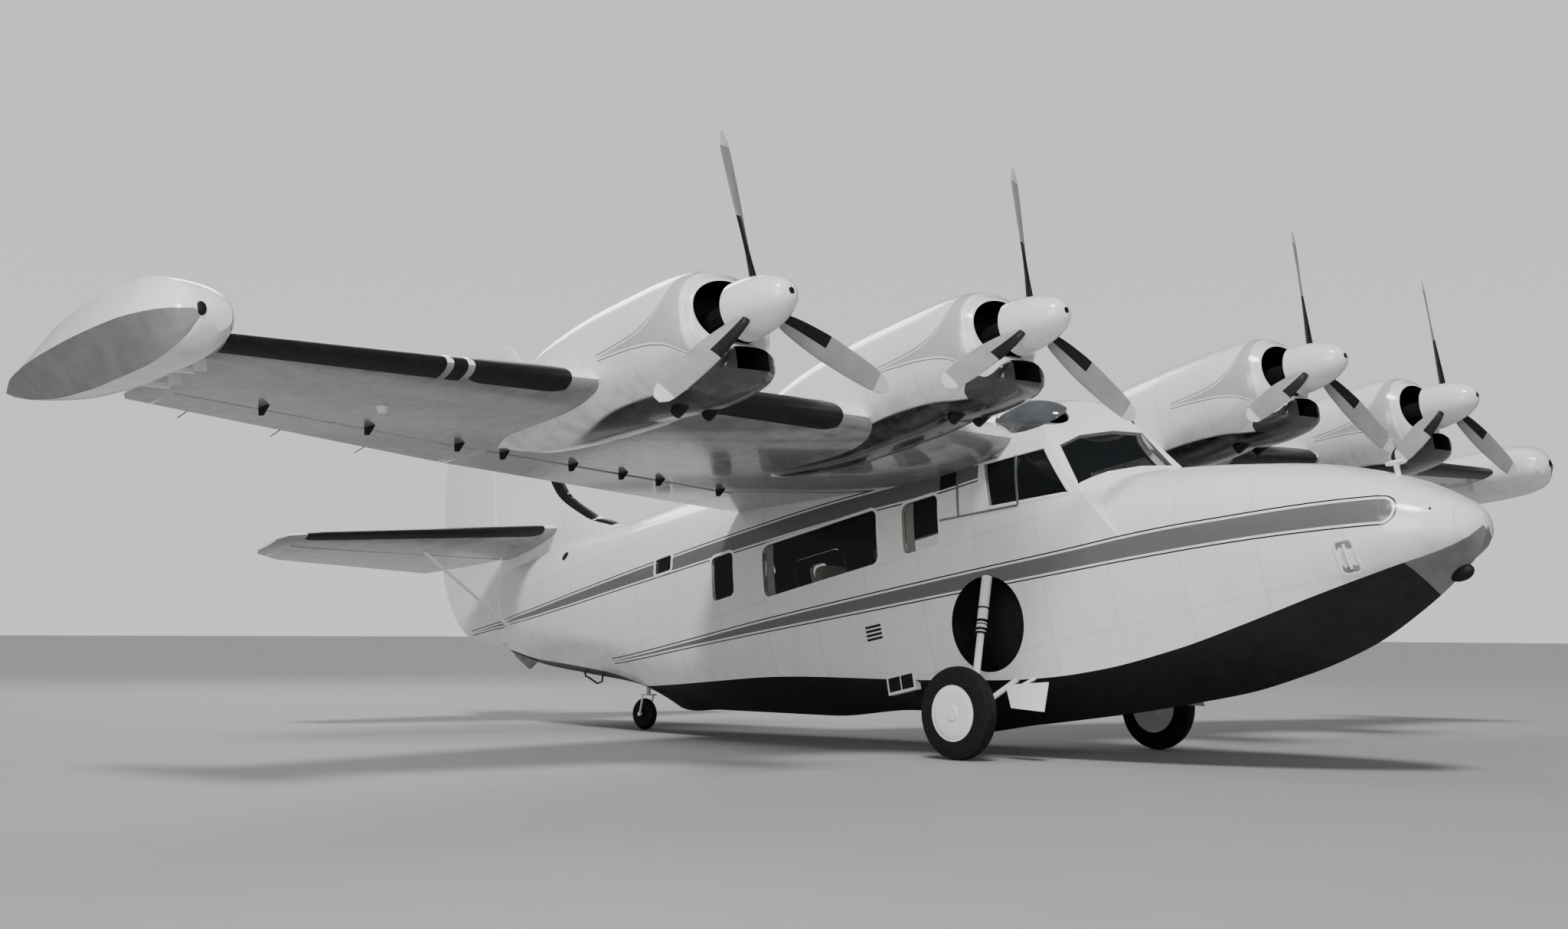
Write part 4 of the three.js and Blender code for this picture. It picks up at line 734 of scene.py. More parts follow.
def set_down(obj, name, body, materials, replaces=(), angle=32, place=AIRFRAME, under=None):
    """Moves a finished piece into the row frame, names it, and tells the frame what it is."""
    obj.name = name
    obj.data.name = name
    top = len(materials) - 1
    marks = [min(p.material_index, top) for p in obj.data.polygons]
    # faces that look down take the under finish: the grey painted shade of the underside
    if under:
        marks = [top + 1 if mark == 0 and p.normal.z < -0.25 else mark
                 for mark, p in zip(marks, obj.data.polygons)]
    obj.data.transform(place)
    obj.data.materials.clear()
    for material in [*materials, under] if under else materials:
        obj.data.materials.append(material)
    obj.data.polygons.foreach_set("material_index", marks)
    obj.data.polygons.foreach_set("use_smooth", [True] * len(marks))
    obj.data.update()
    obj.data.set_sharp_from_angle(angle=math.radians(angle))
    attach(obj, body)
    if replaces:
        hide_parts(*replaces)
    return obj


# Hull forms

BOTTOM_STEPS, SIDE_STEPS, TOP_STEPS = 5, 5, 18


def hull_ring(row, grow=0.0):
    _s, keel, chine_x, chine_h, side_x, side_h, crown = row
    half = []
    hollow = FLARE * min(1.0, chine_x / 0.3)
    for i in range(BOTTOM_STEPS):
        t = i / BOTTOM_STEPS
        half.append((chine_x * t, keel + (chine_h - keel) * t + hollow * 4 * t * (1 - t)))
    for i in range(SIDE_STEPS):
        t = i / SIDE_STEPS
        half.append((chine_x + (side_x - chine_x) * (1 - (1 - t) ** 2), chine_h + (side_h - chine_h) * t))
    for i in range(TOP_STEPS):
        turn = i / TOP_STEPS * math.pi / 2
        half.append((side_x * math.cos(turn) ** (2 / SQUARENESS),
                     side_h + (crown - side_h) * math.sin(turn) ** (2 / SQUARENESS)))
    half.append((0.0, crown))
    ring = half + [(-x, h) for x, h in reversed(half[1:-1])]
    return [(x, row[0], h) for x, h in offset(ring, grow)]


def hull_ids():
    half = [1] * BOTTOM_STEPS + [0] * (SIDE_STEPS + TOP_STEPS)
    return half + half[::-1]


HULL_PITCH = 0.07
CABIN_FINE = finer(CABIN_ROWS, HULL_PITCH)
BOW_FINE = finer(BOW_ROWS, HULL_PITCH)


def hull_loft(rows, grow=0.0, ids=None):
    return skin("loft", [hull_ring(row, grow) for row in rows], ids)


def hull_x(s, h):
    """Half width of the hull at a place on its side."""
    rows = CABIN_FINE if s > -1.3 else BOW_FINE
    row = [np.interp(s, rows[:, 0], rows[:, c]) for c in range(7)]
    _s, keel, chine_x, chine_h, side_x, side_h, crown = row
    if h >= side_h:
        t = min(1.0, (h - side_h) / (crown - side_h))
        return side_x * max(0.0, 1 - t ** SQUARENESS) ** (1 / SQUARENESS)
    if h >= chine_h:
        t = (h - chine_h) / (side_h - chine_h)
        return chine_x + (side_x - chine_x) * (1 - (1 - t) ** 2)
    return chine_x * max(0.0, (h - keel) / (chine_h - keel))


def hull_point(side, s, h, lift=0.0):
    """A point on the hull's side and the outward normal there."""
    e = 0.004
    x = hull_x(s, h)
    normal = Vector((1, -(hull_x(s + e, h) - hull_x(s - e, h)) / (2 * e),
                     -(hull_x(s, h + e) - hull_x(s, h - e)) / (2 * e))).normalized()
    normal.x *= side
    return Vector((side * x, s, h)) + normal * lift, normal


def pane_axes(side):
    corner = Vector((side * PANE_CORNER.x, PANE_CORNER.y, PANE_CORNER.z))
    across = corner - POST_FOOT
    across.normalize()
    rise = POST_TOP - POST_FOOT
    normal = across.cross(rise).normalized()
    if normal.y > 0:
        normal.negate()
    up = normal.cross(across)
    if up.z < 0:
        up.negate()
    return across, up, normal


def pane_outline(grow=0.0):
    """Corners of a windshield pane in its own plane, counted from the post's foot."""
    return [tuple(p) for p in offset(PANE_OUTLINE, grow)]


def pane_solid(side, outline, low, high):
    across, up, normal = pane_axes(side)
    return skin("pane", [[tuple(POST_FOOT + across * u + up * v + normal * d) for u, v in outline]
                         for d in (low, high)])


def before_pane(side, back=0.0):
    """All space ahead of a pane's plane, on its own side of the centre line."""
    across, up, normal = pane_axes(side)
    block = skin("ahead", [[tuple(POST_FOOT + across * u + up * v + normal * d)
                            for u, v in ((-3, -3), (3, -3), (3, 3), (-3, 3))] for d in (-back, 3.0)])
    half = box(0, FAR, -FAR, FAR, -FAR, FAR) if side > 0 else box(-FAR, 0, -FAR, FAR, -FAR, FAR)
    return boolean(block, half, "INTERSECT")


def cut_by_panes(obj, back=0.0):
    for side in (1, -1):
        boolean(obj, before_pane(side, back))
    return obj


def rounded(window, grow=0.0, steps=6):
    s, h, a, b, r = window
    a, b, r = a + grow, b + grow, r + grow
    points = []
    for k, (cs, ch) in enumerate(((a - r, b - r), (r - a, b - r), (r - a, r - b), (a - r, r - b))):
        for i in range(steps + 1):
            turn = (k + i / steps) * math.pi / 2
            points.append((s + cs + r * math.cos(turn), h + ch + r * math.sin(turn)))
    return points


def windows_of(hand):
    return CABIN_WINDOWS + REAR_WINDOWS[hand]


def side_span(side):
    return (0.3, 1.2) if side > 0 else (-1.2, -0.3)


def window_prisms(hand, side, grow=0.0):
    pieces = [prism(offset(COCKPIT_WINDOW, grow), *side_span(side))]
    pieces += [prism(rounded(w, grow), *side_span(side)) for w in windows_of(hand)]
    return joined("openings", pieces)


def eyebrow_shape(side, shrink=0.0):
    """The bulged roof window as a closed egg."""
    e = EYEBROW
    turn = Matrix.Rotation(side * e["lean"] * RAD, 3, "Y") @ Matrix.Rotation(-e["pitch"] * RAD, 3, "X")
    centre = Vector((side * e["x"], e["s"], e["h"]))
    a, b, c = (v - shrink for v in e["size"])
    rings = []
    for i in range(1, 24):
        p = math.pi * i / 24
        rings.append([tuple(turn @ Vector((a * math.sin(p) * math.cos(t), -b * math.cos(p),
                                           c * math.sin(p) * math.sin(t))) + centre)
                      for t in (2 * math.pi * k / 36 for k in range(36))])
    return skin("eyebrow", rings)


def ribbon(points, normals, width, thick, closed=True, sink=0.002):
    """A flat strip of metal that follows a path over a surface."""
    n = len(points)
    rings = []
    for i in range(n):
        a = points[(i - 1) % n if closed else max(i - 1, 0)]
        b = points[(i + 1) % n if closed else min(i + 1, n - 1)]
        along = (b - a).normalized()
        out = normals[i]
        across = along.cross(out).normalized()
        p = points[i]
        rings.append([tuple(p + across * u + out * v) for u, v in (
            (-width / 2, -sink), (width / 2, -sink), (width / 2, thick * 0.6), (width * 0.36, thick),
            (-width * 0.36, thick), (-width / 2, thick * 0.6))])
    if not closed:
        return skin("strip", rings)
    m = len(rings[0])
    verts = [p for ring in rings for p in ring]
    faces = [(r * m + i, r * m + (i + 1) % m, ((r + 1) % n) * m + (i + 1) % m, ((r + 1) % n) * m + i)
             for r in range(n) for i in range(m)]
    return solid("strip", verts, faces)


def dense(outline, pitch=0.04):
    """More points along a closed outline."""
    out = []
    for (a, b), (c, d) in zip(outline, outline[1:] + outline[:1]):
        n = max(1, int(math.hypot(c - a, d - b) / pitch))
        out += [(a + (c - a) * i / n, b + (d - b) * i / n) for i in range(n)]
    return out


# Foil forms


def foil_half(u):
    return 5 * (0.2969 * np.sqrt(u) - 0.126 * u - 0.3516 * u ** 2 + 0.2843 * u ** 3 - 0.1036 * u ** 4)


def row_at(rows, span):
    rows = np.asarray(rows, float)
    return [float(np.interp(span, rows[:, 0], rows[:, c])) for c in range(6)]


def foil_at(row, s, camber):
    _x, le_s, le_h, te_s, te_h, thick = row
    u = min(1.0, max(0.0, (s - le_s) / (te_s - le_s)))
    h = le_h + (te_h - le_h) * u + camber * (te_s - le_s) * 4 * u * (1 - u)
    return h, float(foil_half(u)) * thick + EDGE * u


def foil_ring(row, camber, grow=0.0, steps=26):
    _x, le_s, _h, te_s, _t, _k = row
    upper, lower = [], []
    for i in range(steps + 1):
        s = le_s + (te_s - le_s) * (1 + math.cos(math.pi * i / steps)) / 2
        h, half = foil_at(row, s, camber)
        upper.append((s, h + half))
        if i < steps:
            lower.insert(0, (s, h - half))
    return offset(upper + lower, grow)


def foil_form(rows, place, camber, grow=0.0, pitch=0.25, smooth=False):
    table = finer(rows, pitch, smooth)
    return skin("foil", [[place(row[0], s, h) for s, h in foil_ring(row, camber, grow)] for row in table])


class Hinge:
    """The line that a moving surface turns on, and the shapes that part it from its carrier."""

    def __init__(self, rows, place, camber, start, end, s0, s1, level=None, cove=COVE):
        self.rows, self.place, self.camber, self.cove = rows, place, camber, cove
        self.start, self.end, self.s0, self.s1 = start, end, s0, s1
        self.h0 = level if level is not None else foil_at(row_at(rows, start), s0, camber)[0]
        self.h1 = level if level is not None else foil_at(row_at(rows, end), s1, camber)[0]

    def s(self, x):
        return self.s0 + (self.s1 - self.s0) * (x - self.start) / (self.end - self.start)

    def h(self, x):
        return self.h0 + (self.h1 - self.h0) * (x - self.start) / (self.end - self.start)

    def at(self, x, ds=0.0, dh=0.0):
        return self.place(x, self.s(x) + ds, self.h(x) + dh)

    def behind(self, grow):
        reach = 1.5
        return skin("behind", [[self.at(x, 0, -reach), self.at(x, reach, -reach), self.at(x, reach, reach),
                                self.at(x, 0, reach)] for x in (self.start - grow, self.end + grow)])

    def nose(self, moves, grow):
        rings = []
        spans = np.linspace(self.start - grow, self.end + grow, 24)
        for x in spans:
            middle, half = foil_at(row_at(self.rows, x), self.s(x), self.camber)
            off = abs(middle - self.h(x))
            r = half - off - 0.001 if moves else half + off + self.cove
            rings.append([self.at(x, r * math.cos(t), r * math.sin(t))
                          for t in (2 * math.pi * i / 32 for i in range(32))])
        return skin("nose", rings)


def moving_part(whole, hinge):
    """The piece behind a hinge line with its round nose; make_room takes the room for it out of the carrier.
    """
    part = boolean(copy_of(whole), hinge.behind(0), "INTERSECT")
    boolean(part, hinge.nose(True, 0), "UNION")
    return part


def make_room(carrier, hinge, gap=END_GAP):
    boolean(carrier, hinge.behind(gap))
    boolean(carrier, hinge.nose(False, gap))


def edge_boot(rows, place, camber, start, end, depth, lift=0.0012, scallop=0.0, smooth=False):
    """A thin rubber boot round the leading edge between two spans."""
    table = finer(rows, 0.05, smooth)
    spans = [start] + [x for x in table[:, 0] if start < x < end] + [end]
    rings = []
    for x in spans:
        row = [float(np.interp(x, table[:, 0], table[:, c])) for c in range(6)]
        near = min(x - start, end - x)
        reach = depth - scallop * max(0.0, 1 - near / 0.12) ** 2
        points = []
        for k in range(17):
            t = (k - 8) / 8
            s = row[1] + reach * t * t
            h, half = foil_at(row, s, camber)
            points.append((s, h + math.copysign(half, t) if t else h))
        closing = [(row[1] + reach, foil_at(row, row[1] + reach, camber)[0])]
        outer = offset(points + closing, lift)[:17]
        loop = [tuple(p) for p in outer] + points[::-1]
        rings.append([place(x, s, h) for s, h in loop])
    return skin("boot", rings)


def wing_place(side):
    return lambda x, s, h: (side * x, s, h)


def upright(span, s, across):
    return (across, s, span)


def plate(outline, side, lift=0.004, sink=0.004):
    """A thin plate on the hull's side, from its outline in s and h."""
    found = [hull_point(side, s, h) for s, h in outline]
    return skin("plate", [[tuple(p + n * d) for p, n in found] for d in (-sink, lift)])


def strip_on_hull(outline, side, width, thick, closed=True, pitch=0.04):
    """A flat strip along a line over the hull's side."""
    if closed:
        path = dense([tuple(p) for p in outline], pitch)
    else:
        path = [tuple(outline[0])]
        for (a, b), (c, d) in zip(outline[:-1], outline[1:]):
            n = max(1, int(math.hypot(c - a, d - b) / pitch))
            path += [(a + (c - a) * i / n, b + (d - b) * i / n) for i in range(1, n + 1)]
    found = [hull_point(side, s, h) for s, h in path]
    return ribbon([p for p, _n in found], [n for _p, n in found], width, thick, closed)


def egg(centre, size, turn=None, segments=20, rings=12):
    """An ellipsoid about a centre."""
    centre, turn = Vector(centre), turn or Matrix.Identity(3)
    rows = []
    for i in range(1, rings):
        p = math.pi * i / rings
        rows.append([tuple(centre + turn @ Vector((size[0] * math.sin(p) * math.cos(t),
                                                   -size[1] * math.cos(p),
                                                   size[2] * math.sin(p) * math.sin(t))))
                     for t in (2 * math.pi * k / segments for k in range(segments))])
    return skin("egg", rows)


def cushion(x0, x1, s0, s1, h0, h1, steps=14, square=5.0):
    """A soft block with rounded edges, its rings along s."""
    cx, cs, ch = (x0 + x1) / 2, (s0 + s1) / 2, (h0 + h1) / 2

    def swell(v):
        return math.copysign(abs(v) ** (2 / square), v)

    rings = []
    for i in range(1, steps):
        p = math.pi * i / steps
        grow = swell(math.sin(p))
        s = cs - (s1 - s0) / 2 * swell(math.cos(p))
        rings.append([(cx + (x1 - x0) / 2 * grow * swell(math.cos(t)), s,
                       ch + (h1 - h0) / 2 * grow * swell(math.sin(t)))
                      for t in (2 * math.pi * k / 32 for k in range(32))])
    return skin("cushion", rings)


def bar_along(points, radius, sides=10):
    """A round bar bent through points."""
    points = [Vector(p) for p in points]
    side = (points[1] - points[0]).orthogonal().normalized()
    rings = []
    for i, p in enumerate(points):
        along = (points[min(i + 1, len(points) - 1)] - points[max(i - 1, 0)]).normalized()
        side = (side - along * side.dot(along)).normalized()
        other = along.cross(side)
        rings.append([tuple(p + radius * (side * math.cos(t) + other * math.sin(t)))
                      for t in (2 * math.pi * k / sides for k in range(sides))])
    return skin("bar", rings)


def rivet_tree(material):
    """Geometry Nodes that set a low round head on every point, along the direction stored with it."""
    tree = bpy.data.node_groups.new("Rivet heads", "GeometryNodeTree")
    tree.interface.new_socket("Geometry", in_out="INPUT", socket_type="NodeSocketGeometry")
    size = tree.interface.new_socket("Head", in_out="INPUT", socket_type="NodeSocketFloat")
    tree.interface.new_socket("Geometry", in_out="OUTPUT", socket_type="NodeSocketGeometry")
    start = put(tree, "NodeGroupInput")
    points = put(tree, "GeometryNodeMeshToPoints", {"Mesh": start.outputs[0]})
    head = put(tree, "GeometryNodeMeshUVSphere", {"Segments": 8, "Rings": 5, "Radius": 0.5})
    low = put(tree, "GeometryNodeTransform", {"Geometry": head.outputs[0], "Scale": (1, 1, 0.42)})
    out = put(tree, "GeometryNodeInputNamedAttribute", {"Name": "out"}, data_type="FLOAT_VECTOR")
    turn = put(tree, "FunctionNodeAlignRotationToVector", {"Vector": out.outputs[0]}, axis="Z")
    each = put(tree, "GeometryNodeInstanceOnPoints", {"Points": points.outputs[0], "Instance": low.outputs[0],
                                                      "Rotation": turn.outputs[0], "Scale": start.outputs[1]})
    real = put(tree, "GeometryNodeRealizeInstances", {"Geometry": each.outputs[0]})
    done = put(tree, "GeometryNodeSetMaterial", {"Geometry": real.outputs[0]})
    done.inputs["Material"].default_value = material
    end = put(tree, "NodeGroupOutput", {0: done.outputs[0]})
    return tree, size.identifier, end


def rivets(name, found, size, material, body="airframe", slot="white_paint"):
    """Rivet heads at (point, outward direction) pairs in the airframe's frame, as one mesh."""
    mesh = bpy.data.meshes.new(name + "_points")
    mesh.from_pydata([tuple(p) for p, _n in found], [], [])
    store = mesh.attributes.new("out", "FLOAT_VECTOR", "POINT")
    store.data.foreach_set("vector", [c for _p, n in found for c in n])
    obj = bpy.data.objects.new(name, mesh)
    bpy.context.scene.collection.objects.link(obj)
    tree, socket, _end = rivet_tree(material)
    modifier = obj.modifiers.new("rivets", "NODES")
    modifier.node_group = tree
    modifier[socket] = size
    depsgraph = bpy.context.evaluated_depsgraph_get()
    made = bpy.data.meshes.new_from_object(obj.evaluated_get(depsgraph))
    obj.modifiers.clear()
    bpy.data.node_groups.remove(tree)
    obj.data = made
    bpy.data.meshes.remove(mesh)
    if len(made.polygons) < 10 * len(found):
        raise RuntimeError(f"{name}: heads are missing")
    for attribute in [a.name for a in made.attributes if a.name == "out"]:
        made.attributes.remove(made.attributes[attribute])
    return set_down(obj, name, body, [material], angle=60)


# Operators. Each one builds one piece or a group of like pieces.


def settings(context):
    return context.scene.flying_boat


class Sizes(bpy.types.PropertyGroup):
    """Sizes and colours that a user would change."""

    rivet: FloatProperty(name="Rivet size", description="Diameter of a rivet head", default=0.007, min=0.003,
                         max=0.015, unit="LENGTH")
    rivet_gap: FloatProperty(name="Rivet spacing", description="Distance between rivets round the windows",
                             default=0.034, min=0.015, max=0.1, unit="LENGTH")
    frame_width: FloatProperty(name="Frame width", description="Width of the window frames", default=0.026,
                               min=0.01, max=0.06, unit="LENGTH")
    floor_colour: FloatVectorProperty(name="Floor colour", description="Colour of the studio floor",
                                      default=(0.33, 0.33, 0.325), size=3, min=0, max=1, subtype="COLOR")
    light_power: FloatProperty(name="Light", description="Strength of the studio light", default=1.0, min=0.1,
                               max=4.0)
    curtain_folds: IntProperty(name="Curtain folds", description="Folds in each gathered curtain", default=5,
                               min=2, max=12)


class BOAT_OT_hull(bpy.types.Operator):
    """Builds the hull with its windows cut, and the cabin door"""

    bl_idname = "boat.hull"
    bl_label = "Hull and door"

    def execute(self, context):
        m = library()
        ids = hull_ids()
        hull = hull_loft(CABIN_FINE, 0, ids)
        cut_by_panes(hull)
        boolean(hull, hull_loft(BOW_FINE, 0, ids), "UNION")
        cavity = cut_by_panes(hull_loft(CABIN_FINE, -WALL), WALL)
        boolean(cavity, box(-FAR, FAR, *CAVITY, -FAR, FAR), "INTERSECT")
        above = prism(FLOOR_LINE + [(FLOOR_LINE[-1][0], 4), (FLOOR_LINE[0][0], 4)], -1.5, 1.5)
        boolean(cavity, above, "INTERSECT")
        for _hand, side in HANDS:
            a = (side * (WELL["inner"] - WELL["wall"]), WELL["s"], WELL["h"])
            boolean(cavity, rod(a, (side * 1.5, WELL["s"], WELL["h"]), WELL["radius"] + WELL["wall"], 64))
        boolean(hull, marked(cavity, 2, 3))
        for hand, side in HANDS:
            a = (side * WELL["inner"], WELL["s"], WELL["h"])
            well = rod(a, (side * 1.5, WELL["s"], WELL["h"]), WELL["radius"], 64)
            boolean(hull, marked(well, 4, 5))
            boolean(hull, window_prisms(hand, side))
            boolean(hull, pane_solid(side, pane_outline(), -0.075, 0.4))
            boolean(hull, eyebrow_shape(side, 0.032))
        door = boolean(copy_of(hull), prism(rounded(DOOR, -DOOR_GAP / 2), *side_span(1)), "INTERSECT")
        boolean(hull, prism(rounded(DOOR, DOOR_GAP / 2), *side_span(1)))
        boolean(door, prism(rounded(DOOR_WINDOW), *side_span(1)))
        s = DOOR[0] - DOOR[2] - 0.004
        for h in (1.440, 2.030):
            for part, low, high in ((door, h, h + 0.04), (hull, h - 0.032, h - 0.003)):
                boolean(part, rod((0.754, s, low), (0.754, s, high), 0.013), "UNION")
                reach = 0.05 if part is door else -0.05
                boolean(part, box(0.70, 0.752, min(s, s + reach), max(s, s + reach), low, high), "UNION")
        rudder = Hinge(FIN_ROWS, upright, 0, RUDDER[0], RUDDER[1], RUDDER[2], RUDDER[3])
        make_room(hull, rudder)
        # bottom faces ahead of the bow line take the pale facet finish: painted light
        for face in hull.data.polygons:
            if face.material_index == 1 and face.center.y < -3.40:
                face.material_index = 3
        set_down(hull, "hull_skin", "airframe",
                 [m[key] for key in ("hull", "bottom", "lining", "facet", "well")],
                 ("hull_bow", "hull_bottom", "hull_cabin", "hull_tail"))
        set_down(door, "door_skin", "cabin_door_body", [m["hull"], m["bottom"], m["lining"]],
                 ("cabin_door",))
        return {"FINISHED"}


class BOAT_OT_glazing(bpy.types.Operator):
    """Builds windows, windshield, roof windows and their frames"""

    bl_idname = "boat.glazing"
    bl_label = "Glazing"

    def execute(self, context):
        m = library()
        shell = boolean(hull_loft(CABIN_FINE, -0.009), hull_loft(CABIN_FINE, -0.014))
        door_glass = boolean(copy_of(shell), prism(rounded(DOOR_WINDOW, 0.0), *side_span(1)), "INTERSECT")
        set_down(door_glass, "door_pane", "cabin_door_body", [m["glass"]], ("door_glass",))
        for hand, side in HANDS:
            glass = boolean(copy_of(shell), window_prisms(hand, side), "INTERSECT")
            set_down(glass, f"side_panes_{hand}", "airframe", [m["glass"]],
                     (f"side_glass_{hand}",))
        bpy.data.objects.remove(shell)
        panes = joined("panes", [boolean(pane_solid(side, pane_outline(), -0.014, -0.009),
                                         hull_loft(CABIN_FINE, -0.002), "INTERSECT") for side in (1, -1)])
        set_down(panes, "windshield_panes", "airframe", [m["glass"]], ("windshield",))
        for hand, side in HANDS:
            dome = boolean(eyebrow_shape(side), eyebrow_shape(side, 0.006))
            boolean(dome, hull_loft(CABIN_FINE, 0.0))
            wing = foil_form(WING_ROWS, wing_place(side), WING_CAMBER)
            boolean(dome, wing)
            set_down(dome, f"roof_dome_{hand}", "airframe", [m["dark_glass"]],
                     (f"roof_window_{hand}",))
        # frames
        width = settings(context).frame_width
        strips = []
        for hand, side in HANDS:
            outlines = [dense(rounded(w, width * 0.35)) for w in windows_of(hand)]
            outlines.append(dense([tuple(p) for p in offset(COCKPIT_WINDOW, width * 0.35)]))
            for outline in outlines:
                found = [hull_point(side, s, h) for s, h in outline]
                strips.append(ribbon([p for p, _n in found], [n for _p, n in found], width, 0.004))
            across, up, normal = pane_axes(side)
            outline = dense(pane_outline(0.010))
            path = [POST_FOOT + across * u + up * v for u, v in outline]
            strips.append(ribbon(path, [normal] * len(outline), 0.030, 0.006))
        set_down(joined("frames", strips), "window_frames", "airframe", [m["white"]])
        found = [hull_point(1, s, h) for s, h in dense(rounded(DOOR_WINDOW, width * 0.35))]
        strip = ribbon([p for p, _n in found], [n for _p, n in found], width, 0.004)
        set_down(strip, "door_window_frame", "cabin_door_body", [m["white"]])
        return {"FINISHED"}


class BOAT_OT_wings(bpy.types.Operator):
    """Builds wings, flaps, ailerons and the rubber boots on their leading edges"""

    bl_idname = "boat.wings"
    bl_label = "Wings"

    def execute(self, context):
        m = library()
        for hand, side in HANDS:
            place = wing_place(side)
            wing = foil_form(WING_ROWS, place, WING_CAMBER)
            whole = copy_of(wing)
            for name, (start, end, cove, gap) in WING_SURFACES.items():
                ends = []
                for x in (start, end):
                    row = row_at(WING_ROWS, x)
                    ends.append(row[1] + (row[3] - row[1]) * WING_HINGE)
                hinge = Hinge(WING_ROWS, place, WING_CAMBER, start, end, *ends, cove=cove)
                part = moving_part(whole, hinge)
                make_room(wing, hinge, gap)
                set_down(part, f"{name}_skin_{hand}", f"{name}_{hand}_body", [m["wing"]],
                         (f"{name}_{hand}",), under=m["belly"])
            bpy.data.objects.remove(whole)
            boolean(wing, hull_loft(CABIN_FINE, -0.01))
            for s in (0.030, 0.340):
                block = box(*sorted((side * 7.037, side * 7.100)), s - 0.055, s - 0.005, 2.451, 2.560)
                boolean(wing, block, "UNION")
            set_down(wing, f"wing_skin_{hand}", "airframe", [m["wing"]], (f"wing_{hand}",),
                     under=m["belly"])
            boots = [edge_boot(WING_ROWS, place, WING_CAMBER, start, end, 0.13, scallop=scallop)
                     for start, end, scallop in WING_BOOTS]
            set_down(joined("boots", boots), f"wing_boots_{hand}", "airframe", [m["boot"]])
        return {"FINISHED"}


def round_ring(origin, ds, half, top, foot, grow=0.0, squareness=2.4, sides=48):
    x0, s0, h0 = origin
    middle, tall = (top - foot) / 2, (top + foot) / 2
    flat = []
    for i in range(sides):
        t = 2 * math.pi * i / sides
        c, s = math.cos(t), math.sin(t)
        flat.append((half * math.copysign(abs(c) ** (2 / squareness), c),
                     middle + tall * math.copysign(abs(s) ** (2 / squareness), s)))
    return [(x0 + x, s0 + ds, h0 + h) for x, h in offset(flat, grow)]


class BOAT_OT_nacelles(bpy.types.Operator):
    """Builds the four nacelles with their inlets, exhausts and chin bowls"""

    bl_idname = "boat.nacelles"
    bl_label = "Nacelles"

    def execute(self, context):
        m = library()
        for name, x, s, h, _phase, sink, stretch in ENGINES:
            side = 1 if x > 0 else -1
            at = (x, s, h)
            rows = [(1.5 + (ds - 1.5) * stretch if ds > 1.5 else ds, half, top - share * sink * 0.3,
                     foot + share * sink) for ds, half, top, foot, share in NACELLE_ROWS]
            fine = finer(rows, 0.06)
            lip = [(0.585, 0.322, 0.262, 0.292), (0.578, 0.310, 0.250, 0.280)]
            shell = skin("shell", [round_ring(at, *row) for row in lip[::-1]]
                         + [round_ring(at, *row) for row in fine])
            chin = skin("chin", [round_ring(at, *row) for row in finer(CHIN_ROWS, 0.03)])
            boolean(shell, chin, "UNION")
            bay = [row for row in fine if BAY[0] < row[0] < BAY[1]]
            ends = [np.array([np.interp(v, fine[:, 0], fine[:, c]) for c in range(4)]) for v in BAY[:2]]
            # the walls of the hollow bay, the mouth and the chin inlet are black: painted shade inside the
            # openings
            marked(shell, 0, 2)
            hollow = skin("bay", [round_ring(at, *row, -BAY[2]) for row in [ends[0], *bay, ends[1]]])
            boolean(shell, marked(hollow, 1, 2))
            a, b, up = MOUTH
            hollow = skin("mouth", [round_ring(at, ds, a + extra, b + up + extra, b - up + extra, 0, 2)
                                    for ds, extra in ((0.52, 0.012), (0.60, 0.004), (0.63, 0), (0.70, 0))])
            boolean(shell, marked(hollow, 1, 2))
            half, low, high = CHIN_INLET
            hollow = box(x - half, x + half, s + 0.38, s + 0.80, h - low, h - high)
            boolean(shell, marked(hollow, 1, 2))
            boolean(shell, foil_form(WING_ROWS, wing_place(side), WING_CAMBER, -0.004))
            set_down(shell, f"nacelle_skin_{name}", "airframe",
                     [m["nacelle_" + name], m["black"]], (f"nacelle_{name}",), 38)
            dress("engine_" + name, m["black"])
            # exhaust stubs under the cowl, hollow at their ends
            pipes = []
            for px in (x - 0.13, x + 0.13):
                pipe = rod((px, s + 0.86, h - 0.42), (px, s + 1.06, h - 0.50), 0.042)
                pipes.append(boolean(pipe, rod((px, s + 0.90, h - 0.436), (px, s + 1.08, h - 0.508), 0.036)))
            set_down(joined("pipes", pipes), f"exhausts_{name}", "airframe", [m["exhaust"]])
        return {"FINISHED"}


